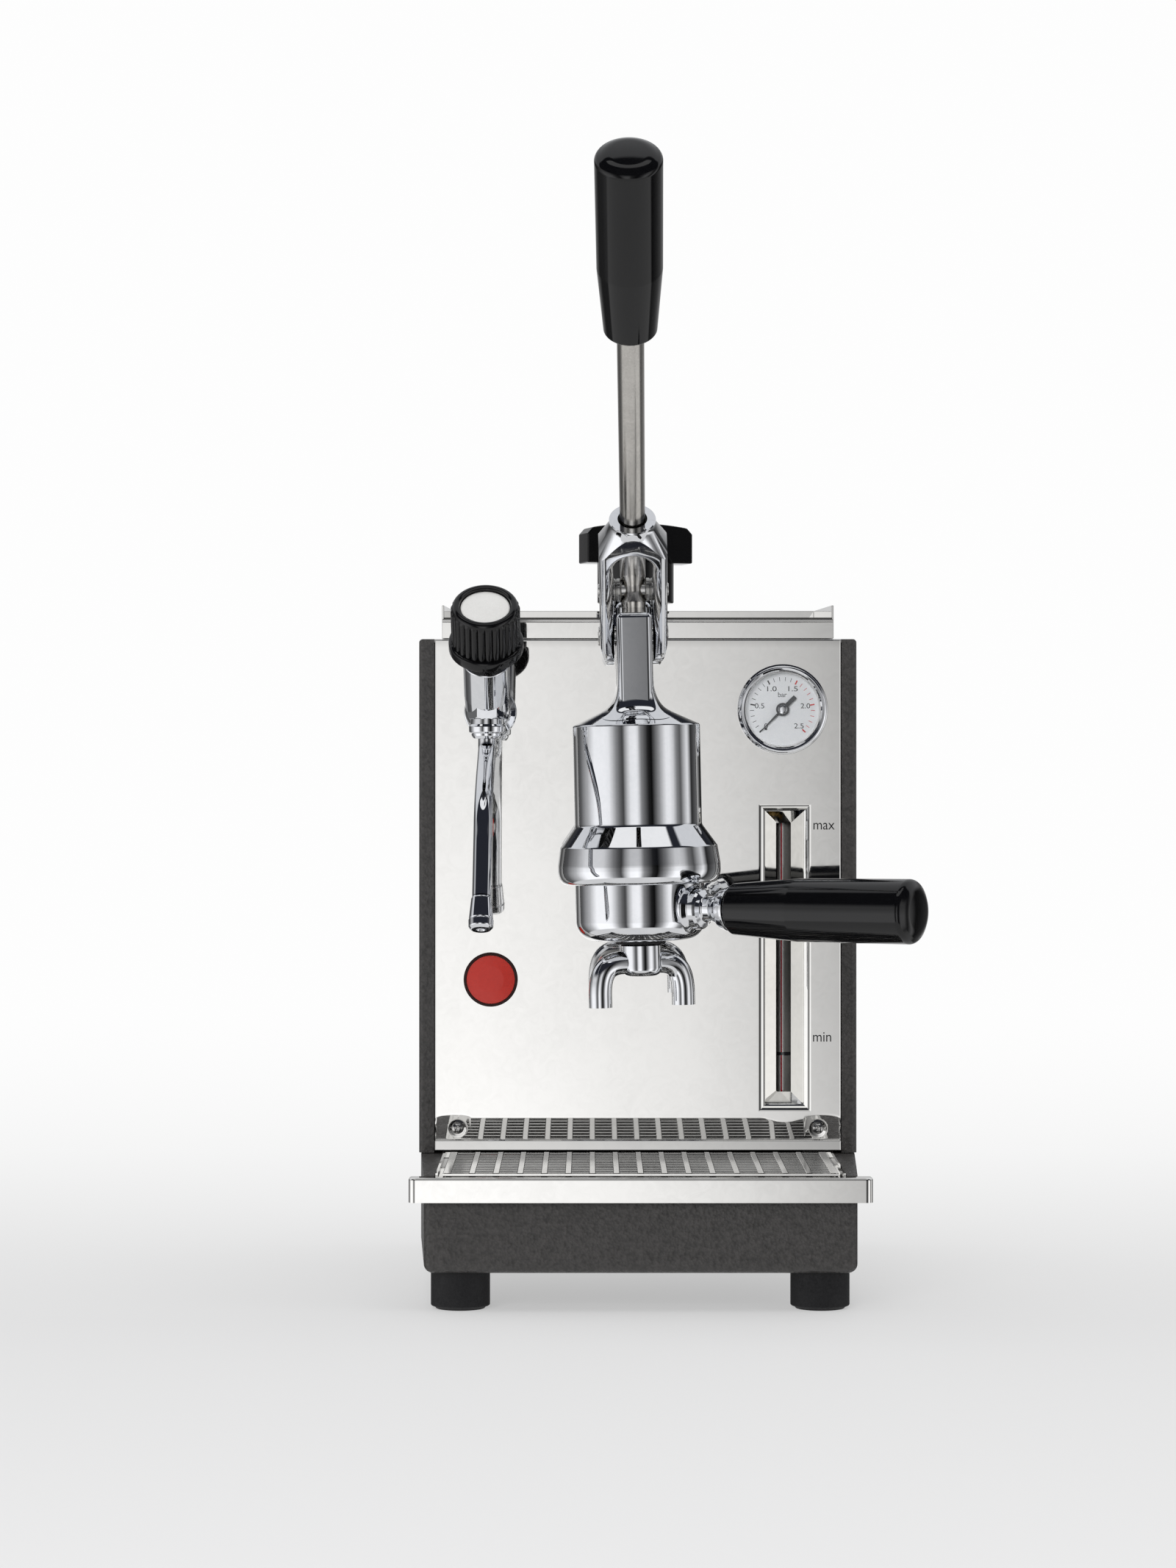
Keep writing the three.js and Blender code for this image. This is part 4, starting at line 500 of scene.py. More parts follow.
CHROME = surface("bright_chrome", "chrome", (232, 233, 236), (224, 226, 229), 1.0,
                 (0.015, 0.02, 26.0), (WAVES, 30.0, 0.000012))
MIRROR = surface("polished_sheet", "mirror", (240, 239, 236), (233, 232, 229), 1.0,
                 (0.02, 0.025, 14.0), (WAVES, 9.0, 0.00006))
GRILLE = surface("polished_grille", "steel", (232, 231, 228), (218, 217, 214), 1.0,
                 (0.09, 0.08, 30.0), (BRUSH, 700.0, 0.000003))
ROD = surface("polished_rod", "steel", (206, 203, 198), (190, 187, 182), 1.0,
              (0.2, 0.06, 60.0), (WAVES, 60.0, 0.00001))
PLATE = surface("satin_plate", "satin", (238, 237, 234), (230, 229, 226), 0.6,
                (0.42, 0.04, 60.0), (WAVES, 60.0, 0.000001))
# A darker copy of the grille's steel: painted shade for the louvres down in the grille's slots; the rod's spacers use
# it too
PAINTED_SHADE_STEEL = surface("steel_painted_shade", "steel", (168, 167, 164), (146, 145, 142), 1.0,
                (0.16, 0.1, 30.0), (BRUSH, 900.0, 0.000003))
# Grey for the inside of the sight tube: painted shade seen through the glass
SIGHT_PAINTED_SHADE = surface("sight_painted_shade", "dial", (112, 110, 107), (126, 124, 121), 0.0,
                (0.5, 0.1, 60.0), (WAVES, 60.0, 0.00001))
SATIN = surface("satin_steel", "satin", (226, 224, 220), (212, 210, 206), 1.0,
                (0.22, 0.06, 60.0), (LATHE, 1800.0, 0.0000016))
STEEL = surface("plain_steel", "steel", (206, 205, 203), (188, 187, 185), 1.0,
                (0.14, 0.12, 40.0), (BRUSH, 800.0, 0.000004))
PAINT = surface("stove_enamel", "paint", (44, 43, 42), (60, 58, 57), 0.0,
                (0.36, 0.12, 60.0), (GRAIN, 900.0, 0.0004), dust=0.06, specular=0.45)
BAKELITE = surface("black_bakelite", "bakelite", (6, 6, 7), (9, 9, 10), 0.0,
                   (0.05, 0.06, 34.0), (WAVES, 30.0, 0.000012), specular=0.42)
RUBBER = surface("black_rubber", "rubber", (13, 13, 15), (20, 20, 22), 0.0,
                 (0.62, 0.2, 50.0), (GRAIN, 1800.0, 0.00004), dust=0.12)
BRASS = surface("turned_brass", "brass", (226, 186, 110), (190, 150, 82), 1.0,
                (0.2, 0.16, 50.0), (LATHE, 1200.0, 0.000002))
ENAMEL = surface("red_enamel", "enamel", (170, 36, 24), (160, 31, 20), 0.0,
                 (0.12, 0.1, 60.0), (WAVES, 90.0, 0.00002), specular=0.4)
RIM = surface("dark_rim", "enamel", (46, 20, 17), (34, 17, 15), 0.5,
              (0.3, 0.2, 80.0), (LATHE, 900.0, 0.000003))
DIAL = surface("dial_white", "dial", (240, 242, 244), (234, 237, 240), 0.0,
               (0.5, 0.1, 80.0), (GRAIN, 2600.0, 0.000003))
INK = surface("dark_print", "ink", (24, 24, 26), (34, 34, 36), 0.0,
              (0.5, 0.1, 90.0), (GRAIN, 2600.0, 0.000003))
RED_INK = surface("red_print", "ink", (196, 52, 52), (206, 66, 64), 0.0,
                  (0.5, 0.1, 90.0), (GRAIN, 2600.0, 0.000003))
NEEDLE = surface("needle_black", "ink", (58, 60, 62), (70, 72, 74), 0.2,
                 (0.35, 0.1, 90.0), (BRUSH, 2000.0, 0.000002))
PLASTIC = surface("moulded_plastic", "plastic", (24, 24, 26), (32, 32, 34), 0.0,
                  (0.38, 0.15, 60.0), (GRAIN, 2200.0, 0.00002))
# Dark steel put where there is only shade: painted shade behind the sight glass, under the cup rail's hem and on the
# drip tray's floor
PAINTED_SHADE = surface("painted_shade_inside", "steel", (46, 45, 43), (58, 57, 55), 0.2,
               (0.35, 0.2, 40.0), (BRUSH, 500.0, 0.000004))
WHITE = surface("white_stripe", "dial", (236, 236, 236), (224, 224, 224), 0.0,
                (0.3, 0.1, 60.0), (WAVES, 60.0, 0.00001))
STRIPE = surface("red_stripe", "ink", (150, 16, 30), (124, 12, 24), 0.0,
                 (0.2, 0.1, 60.0), (WAVES, 60.0, 0.00001))


def clear_glass():
    material, tree, shader = blank("clear_glass")
    shader.inputs["Base Color"].default_value = (1, 1, 1, 1)
    shader.inputs["Transmission Weight"].default_value = 1.0
    shader.inputs["IOR"].default_value = 1.45
    wiped = put(tree, "Group", {"Even": 0.0, "Marks": 0.02, "Size": 40.0}, node_tree=HANDLING)
    tree.links.new(wiped.outputs["Roughness"], shader.inputs["Roughness"])
    relief(tree, shader, WAVES, 40.0, 0.00002)
    material["slot"] = "glass"
    return material


GLASS = clear_glass()


# Pan, feet and housing

def pan_outline(inset):
    nose, side, front, back, bend = 93.5 - inset, 99 - inset, inset - 103.5, 160.5 - inset, 4.5 - inset
    return eased([(-nose, front, bend), (nose, front, bend), (side, 0, 8), (side, back, bend),
                  (-side, back, bend), (-side, 0, 8)], 10, True)


def base_pan():
    def tub(inset, foot, top, bend):
        rows = [[(u, v, foot + bend * (1 - cos(t))) for u, v in pan_outline(inset + bend * (1 - sin(t)))]
                for t in quarter(8)]
        rows.append([(u, v, top) for u, v in pan_outline(inset)])
        return lofted(rows)
    pan = cut(tub(0, 17, 59.1, 4), tub(1.5, 18.5, 57.6, 2.5),
              block((-89, 89), (-102, 143), (55, 70)), block((-110, 110), (-110, -100.5), (55.9, 70)))
    fixed("pan", softened(pan, 0.5), PAINT, ["base_pan"])
    wall = block((-97.5, 97.5), (2.7, 4.2), (18, 58.4))
    tabs = [block((x - 7, x + 7), (2.7, 4.2), (57, 78.1)) for x in (-SCREW_X, SCREW_X)]
    fixed("pan_bulkhead", softened(together(wall, *tabs), 0.3), PAINT)
    for row, y in (("front", -84.5), ("back", 141.5)):
        for side, x in (("left", -78.3), ("right", 78.3)):
            foot = turned([(0, 0), (10.6, 0, 0.6), (11.4, 1.2, 0.8), (12.9, 1.2, 1.0), (12.9, 16.7), (0, 16.7)])
            piece(f"rubber_foot_{row}_{side}", foot, MACHINE @ at(x, y, 0), "machine", RUBBER, [f"foot_{row}_{side}"])
            screw = turned([(0, 2.4), (2.6, 2.4), (3.2, 1.6, 0.4), (3.2, 0.5), (0, 0.5)], 32)
            piece(f"foot_screw_{row}_{side}", screw, MACHINE @ at(x, y, 0.02), "machine", STEEL)


def screw_head(radius, height):
    """A round head with a cross recess, standing on z = 0."""
    head = turned([(0, -1), (radius, -1), (radius, height * 0.35, 0.3), (radius * 0.62, height, radius * 0.8),
                   (0, height)], 48)
    slots = [moved(block((-radius * 0.5, radius * 0.5), (-radius * 0.11, radius * 0.11), (height * 0.35, 9)),
                   tilt(a, "Z")) for a in (25, 115)]
    return softened(cut(head, *slots), 0.08, 2)


def housing():
    outline = eased([(-93, 0), (-100, 0, 2.8), (-100, 162, 3), (100, 162, 3), (100, 0, 2.8), (93, 0), (93, 1.5),
                     (98.5, 1.5, 0.4), (98.5, 160.5, 1.5), (-98.5, 160.5, 1.5), (-98.5, 1.5, 0.4), (-93, 1.5)], 8, True)
    shell = prism(outline, 59.4, 294)
    for name, wide, high in (("switch_frame", 10.8, 15.3), ("mains_inlet", 15.3, 12.3)):
        x, _, z = MACHINE.inverted() @ ((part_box(name)[0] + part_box(name)[1]) / 2)
        shell = cut(shell, block((x - wide, x + wide), (150, 170), (z - high, z + high)))
    insets = [(0, 50)] + [(2 - 2 * cos(t), 292 + 2 * sin(t)) for t in quarter(6)]
    round_top = [[(u, v, z) for u, v in eased([(-100.1 + k, -1 + k), (100.1 - k, -1 + k), (100.1 - k, 163 - k, 4),
                                               (-100.1 + k, 163 - k, 4)], 6, True)] for k, z in insets]
    shell = combined("INTERSECT", shell, lofted(round_top))
    fixed("housing", softened(shell, 0.4, 3), PAINT, ["housing_shell"])
    for x in (-88, 88):
        for z in (70, 283):
            piece(f"back_screw_{'left' if x < 0 else 'right'}_{z}", screw_head(2.4, 1.3),
                  MACHINE @ at(x, 162, z) @ tilt(-90, "X"), "machine", STEEL)


# Front panel

RECESS_X, RECESS_EDGE, RECESS_SLOT = 67.1, 10.3, 3.15
RECESS_FOOT, RECESS_TOP, FOOT_SLOPE, TOP_SLOPE = 79.8, 216.9, 6.9, 7.0
SCREW_X, SCREW_Z = 82.3, 70.5


def recess_share(x, z):
    """How far down the recess's sloped sides a spot is, on its upright and on its level sides."""
    return ((RECESS_EDGE - abs(x - RECESS_X)) / (RECESS_EDGE - RECESS_SLOT),
            min((RECESS_TOP - z) / TOP_SLOPE, (z - RECESS_FOOT) / FOOT_SLOPE))


def ramp(t, ease):
    """0 below 0 and t above it, with a smooth bend between."""
    return 0 if t <= -ease else t if t >= ease else (t + ease) ** 2 / (4 * ease)


def bend_line(x):
    """Height of the crease above the strip that is pressed back along the panel's foot."""
    near_screw = max(0.0, 1 - ((abs(x) - 84) / 8) ** 2) if abs(abs(x) - 84) < 8 else 0.0
    under_recess = max(0.0, 1 - ((x - 67) / 11) ** 2) if abs(x - 67) < 11 else 0.0
    return 75.5 + 1.6 * near_screw ** 0.5 - 2.2 * under_recess ** 2


def pressed(x, z):
    """How deep the panel is pressed in: the recess, the strip along its foot and the dimples at its screws."""
    depth = 7.4 * ramp(min(recess_share(x, z)), 0.22)
    depth += 0.045 * ramp(bend_line(x) - z, 0.35)
    away = hypot(abs(x) - SCREW_X, z - SCREW_Z)
    return depth + 0.45 * max(0.0, 1 - away / 3.9) ** 0.7 if away < 3.9 else depth


def front_panel():
    shares = [-0.26, -0.22, -0.19, -0.16, -0.12, -0.08, -0.04, 0, 0.04, 0.08, 0.12, 0.16, 0.19, 0.22, 0.26, 0.4, 0.6,
              0.8, 1]
    wide = RECESS_EDGE - RECESS_SLOT
    left = [RECESS_X - RECESS_EDGE + wide * t for t in shares]
    right = [RECESS_X + RECESS_EDGE - wide * t for t in reversed(shares)]
    columns = [(-92.7, 1.2), (-92.7, 0.5), (-92.55, 0.15), (-92.2, 0)]
    columns += [(x, 0) for x in graded((-91.8, -76, 0.55), (-76, left[0] - 2, 2.2))]
    columns += [(x, 0) for x in left + [RECESS_X - 1, RECESS_X + 1] + right]
    columns += [(x, 0) for x in graded((right[-1] + 0.3, 91.8, 0.55))]
    columns += [(92.2, 0), (92.55, 0.15), (92.7, 0.5), (92.7, 1.2)]
    low = [RECESS_FOOT + FOOT_SLOPE * t for t in shares]
    high = [RECESS_TOP - TOP_SLOPE * t for t in reversed(shares)]
    rows = [tuple(p) for p in eased([(1.2, 60.6), (-1.6, 60.6, 0.3), (-1.15, 65.3, 0.8), (0, 65.3, 0.3), (0, 66)], 6)]
    rows += [(0, z) for z in graded((66.3, low[0] - 0.2, 0.4))]
    rows += [(0, z) for z in low] + [(0, z) for z in graded((89, 207, 4))] + [(0, z) for z in high]
    rows += [(0, z) for z in graded((high[-1] + 1.5, 292.9, 3))] + [(0.15, 293.55), (0.5, 293.7), (1.2, 293.7)]
    points = [(x, back + y + (pressed(x, z) if back == 0 and z > 65.5 else 0), z) for y, z in rows for x,
              back in columns]
    count, faces = len(columns), []
    for r in range(len(rows) - 1):
        for c in range(count - 1):
            a, b = r * count + c, (r + 1) * count + c
            x = (columns[c][0] + columns[c + 1][0]) / 2
            z = (rows[r][1] + rows[r + 1][1]) / 2
            if abs(x - RECESS_X) < RECESS_SLOT and 86.7 < z < 209.9:
                continue
            spots = [(columns[c][0], rows[r][1]), (columns[c + 1][0], rows[r][1]),
                     (columns[c + 1][0], rows[r + 1][1]), (columns[c][0], rows[r + 1][1])]
            level = [abs(recess_share(*s)[0] - recess_share(*s)[1]) < 1e-6 for s in spots]
            if level[0] and level[2]:
                faces += [(a, a + 1, b + 1), (a, b + 1, b)]
            elif level[1] and level[3]:
                faces += [(a, a + 1, b), (a + 1, b + 1, b)]
            else:
                faces.append((a, a + 1, b + 1, b))
    mesh = bpy.data.meshes.new("mesh")
    mesh.from_pydata(points, [], faces)
    fixed("panel", mesh, MIRROR, ["front_panel"], 22)
    for side, x in (("left", -SCREW_X), ("right", SCREW_X)):
        piece(f"panel_screw_head_{side}", screw_head(2.5, 1.4), MACHINE @ at(x, -0.25, SCREW_Z) @ tilt(90, "X"),
              "machine", STEEL, [f"panel_screw_{side}"])
    for word, x, z, width, height in (("max", 85.05, 208.5, 9.7, 3.1), ("min", 84.15, 112.3, 8.3, 4.3)):
        piece(f"panel_word_{word}", lettering(word, width, height), MACHINE @ at(x, -0.035, z) @ tilt(90, "X"),
              "machine", INK)
    # Dark blocks behind the slot in the recess: painted shade behind the sight glass
    backing = [block((RECESS_X + x0, RECESS_X + x1), (y, 22), (82, 214))
               for x0, x1, y in ((-6.2, -4.9, 9.5), (4.9, 6.2, 9.5), (-6.2, 6.2, 21))]
    fixed("sight_backing_painted_shade", together(*backing), PAINTED_SHADE)


def sight():
    low, high = (MACHINE.inverted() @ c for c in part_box("sight_glass"))
    place = MACHINE @ at(RECESS_X, (low.y + high.y) / 2, 0)
    tube = turned([(4.3, low.z), (4.6, low.z, 0.1), (4.6, high.z, 0.1), (4.3, high.z)], 64, 4, True)
    piece("sight_tube", tube, place, "machine", GLASS, ["sight_glass"])
    # A grey drum inside the glass: painted shade in the tube
    piece("sight_painted_shade", drum(4.1, low.z + 0.4, high.z - 0.4, 48), place, "machine", SIGHT_PAINTED_SHADE)

    def stripe(middle, half):
        turns = [radians(middle + half * k / 2) for k in (-2, -1, 0, 1, 2)]
        return lofted([[(4.16 * sin(t), -4.16 * cos(t), z) for t in turns] for z in (82.0, 213.0)], False)
    piece("sight_white_line", together(stripe(-22, 1.6), stripe(-5.5, 1.2)), place, "machine", WHITE)
    piece("sight_red_line", stripe(-13.5, 5.2), place, "machine", STRIPE)
    piece("sight_level", turned([(4.12, 103.0), (4.2, 103.2), (4.2, 104.4), (4.12, 104.6)], 48, 2, True), place,
          "machine", INK)


def badge():
    rim = turned([(0, 0.3), (12.35, 0.3), (12.35, 1.7, 0.35), (11.1, 1.7, 0.2), (10.95, 0.95), (0, 0.95)])
    piece("badge_rim", rim, BADGE, "machine", RIM, ["badge"])
    piece("badge_face", turned([(0, 0.9), (11.6, 0.9), (11.55, 1.05, 0.1), (6, 1.3, 6), (0, 1.34)]), BADGE, "machine",
          ENAMEL)


# Cup tray, drip tray and grille

def cup_tray():
    side = [(3, 294.3), (150, 294.3), (150, 312.7), (3, 309.5)]
    inner = (-88.6, 88.6)
    shell = cut(sideways(side, 89.6), block(inner, (4, 149), (295.3, 330)),
                block(inner, (-2, 5), (303, 330)), moved(drum(14.3, 290, 320), at(0, 92, 0)))
    hem = sideways(eased([(3.0, 301.6), (2.7, 302.0, 0.2), (2.7, 303.3, 0.4), (4.4, 303.3, 0.4), (4.4, 301.6, 0.2)], 8,
                         True), 89.3)
    fixed("cup_rail", softened(shell, 0.3, 3), MIRROR, ["cup_tray"])
    fixed("cup_rail_hem", hem, STEEL)
    # A dark strip under the hem: painted shadow beneath the rolled edge
    fixed("cup_rail_painted_shadow", block((-88.9, 88.9), (2.65, 3.3), (303.2, 303.9)), PAINTED_SHADE)
    for x in (-85.6, 85.6):
        piece(f"rail_screw_{'left' if x < 0 else 'right'}", screw_head(1.9, 1.1), MACHINE @ at(x, 12, 295.3), "machine",
              STEEL)


def drip_tray():
    outer, bend, well, rim = 100.0, 3.2, (-87.6, 87.6), 57.9
    outline = lambda inset, back: eased([(-outer + inset, -108 + inset, bend), (outer - inset, -108 + inset, bend),
                                         (outer - inset, back), (-outer + inset, back)], 10, True)
    rows = [[(u, v, z) for u, v in outline(inset, -100.6)] for inset, z in
            [(0, 48.1), (0, 48.2), (0, 57.6)] + [(1.2 - 1.2 * cos(t), 57.7 + 1.2 * sin(t))
                                             for t in quarter(8)]]
    hollow = prism(outline(1.0, -104.2), 40, rim)
    lip = cut(lofted(rows), hollow, block((-99, 99), (-104.5, -95), (40, rim)))
    piece("tray_lip", softened(lip, 0.2, 2), MACHINE, "drip_tray", MIRROR, ["drip_tray"], 32)
    tub = cut(block((-88.6, 88.6), (-101.5, -4), (23.9, 60.1)), block(well, (-100.5, -5), (58.9, 70)),
              block((-83, 83), (-100.5, -5), (rim, 59)), block(well, (-100.5, -5), (24.9, rim)),
              block((-92, 92), (-103, -100.2), (58.9, 70)))
    piece("tray_tub", softened(tub, 0.25, 2), MACHINE, "drip_tray", MIRROR)


def drip_grille():
    half, front, back, top, foot = 85.4, -102.6, -7.0, 60.4, 59.2
    pitch, width, rows, row_pitch, bevel = 10.4, 7.6, 12, 7.6, 0.3
    start = (front + back) / 2 - rows * row_pitch / 2
    slots = [(c - 7.5) * pitch for c in range(16)]
    bars, louvres = ([], []), ([], [])

    def quad(sheet, *corners):
        points, faces = sheet
        faces.append(tuple(range(len(points), len(points) + len(corners))))
        points.extend(corners)

    def strip(sheet, near, far, *line):
        """Quads between two depths along a line of (x, z)."""
        for (xa, za), (xb, zb) in zip(line, line[1:]):
            quad(sheet, (xa, near, za), (xb, near, zb), (xb, far, zb), (xa, far, za))
    edges = [m + s * width / 2 for m in slots for s in (-1, 1)]
    for x0, x1 in zip([-half] + edges[1::2], edges[0::2] + [half]):
        strip(bars, front, back, (x0, top - bevel), (x0 + bevel, top), (x1 - bevel, top), (x1, top - bevel))
        for x in (x0, x1):
            quad(bars, (x, front, foot), (x, front, top - bevel), (x, back, top - bevel), (x, back, foot))
    for middle in slots:
        x0, x1 = middle - width / 2, middle + width / 2
        for near, far in ((front, start), (start + rows * row_pitch - 3.4, back)):
            strip(bars, near, far, (x0, top - 0.25), (x1, top - 0.25))
        for row in range(rows):
            y = start + row * row_pitch
            crest = [(y, top - 0.9), (y, top - 0.34), (y + 0.3, top - 0.12), (y + 0.8, top - 0.04),
                     (y + 4.2, top - 0.04), (y + 4.2, top - 0.5)]
            for (ya, za), (yb, zb) in zip(crest, crest[1:]):
                quad(louvres, (x0, ya, za), (x1, ya, za), (x1, yb, zb), (x0, yb, zb))
    for y in (front, back):
        quad(bars, (-half, y, foot), (half, y, foot), (half, y, top - bevel), (-half, y, top - bevel))
    piece("grille", meshed(*bars), MACHINE, "drip_grille", GRILLE, ["drip_grille"], 20)
    # The louvres take the darker steel: painted shade in the slots
    piece("grille_louvres", meshed(*louvres), MACHINE, "drip_grille", PAINTED_SHADE_STEEL, (), 20)
    # The tray's floor is dark steel: painted shade down in the well
    piece("tray_floor_painted_shade", block((-82.9, 82.9), (-100.2, -5.3), (24.95, 26)), MACHINE, "drip_tray", PAINTED_SHADE)


# Boiler cap

def boiler_cap():
    skirt = turned([(14.3, 314), (18.3, 314, 0.8), (18.3, 333, 0.5), (16, 338, 3), (0, 338)])
    half, foot, top = 26, 333, 352
    crown = [(-half, foot), (half, foot), (half, top - 5, 0.8), (half - 2.5, top - 2.2, 1.2)]
    crown += [tuple(p) for p in curve((half - 3.5, top - 1.9), (0, top + 1.9), (3.5 - half, top - 1.9), steps=20)]
    crown += [(2.5 - half, top - 2.2, 1.2), (-half, top - 5, 0.8)]
    outline = eased(crown, 4, True)
    wings = lofted([[(u, v, w) for u, w in outline] for v in (-8.5, 8.5)])
    piece("cap_skirt", skirt, CAP, "boiler_cap", BAKELITE)
    piece("cap_wings", softened(wings, 2.2, 4, 40), CAP, "boiler_cap", BAKELITE, ["boiler_cap"])


# Gauge

def gauge():
    bezel = turned([(18.3, 0.3), (20.2, 0.3, 0.3), (20.6, 1.1, 0.3), (20.6, 4.2, 1.6), (19.7, 6.1, 0.8),
                    (18.9, 6.5, 0.5), (17.9, 6.1, 0.4), (17.3, 5.4), (17.3, 5.3), (18.3, 5.3)], 128, 8, True)
    piece("bezel", bezel, GAUGE, "machine", CHROME, ["gauge_bezel"])
    case = turned([(0, -24), (18, -24, 1.6), (18, 3.9), (17.2, 3.9), (17.2, -0.3), (0, -0.3)], 96)
    piece("case", case, GAUGE, "machine", SATIN, ["gauge_case"])
    reflector = turned([(16.6, 0.85), (17.1, 3.9), (17.15, 3.9), (17.15, 0.85)], 96, 4, True)
    piece("dial_surround", reflector, GAUGE, "machine", WHITE)
    piece("dial", turned([(0, 0), (16.9, 0), (16.9, 0.8), (0, 0.8)], 96), GAUGE, "machine", DIAL, ["gauge_dial"])
    lens = turned([(0, 4.2), (18, 4.2), (18, 5.2), (17, 5.3, 1), (0, 5.3)], 96)
    piece("lens", lens, GAUGE, "machine", GLASS, ["gauge_lens"])
    ink, red = [], []
    first, sweep, steps = 225, 270, 25
    for step in range(steps + 1):
        major = step % 5 == 0
        inner, outer, wide = (12.8, 14.8, 0.62) if major else (13.0, 14.8, 0.24)
        tick = block((inner, outer), (-wide / 2, wide / 2), (0.8, 0.84))
        (red if step >= 15 else ink).append(moved(tick, tilt(first - sweep * step / steps, "Z")))
    for k, value in enumerate(("0", "0.5", "1.0", "1.5", "2.0", "2.5")):
        wide, turn = 4.3 if k else 1.6, radians(first - sweep * k / 5)
        ink.append(moved(lettering(value, wide, 2.3), at(*polar(10.6, turn), 0.82)))
    ink.append(moved(lettering("bar", 4.0, 2.3), at(0, 6.8, 0.82)))
    ink.append(moved(drum(0.55, 0.8, 1.5, 24), at(-7.6, -8.8, 0)))
    piece("dial_print", together(*ink), GAUGE, "machine", INK)
    piece("dial_red_print", together(*red), GAUGE, "machine", RED_INK)
    pointer = prism([(-8.2, -1.0), (-0.5, -0.95), (1, -0.62), (13.9, -0.16), (13.9, 0.16), (1, 0.62), (-0.5, 0.95),
                     (-8.2, 1.0)], 1.6, 2.2)
    hub = turned([(0, 1.6), (3, 1.6), (3, 2.5, 0.3), (2.1, 2.75, 0.2), (2.1, 2.6), (0, 2.6)], 48)
    pointer = moved(together(softened(pointer, 0.12, 2), hub), tilt(first, "Z"))
    piece("pointer", pointer, GAUGE, "gauge_needle", NEEDLE, ["gauge_needle"])
    cap = turned([(0, 2.6), (2.1, 2.6), (2.1, 2.85, 0.2), (1.2, 3.1, 0.5), (0, 3.15)], 48)
    piece("pointer_cap", cap, GAUGE, "gauge_needle", CHROME)


# Steam valve and wand

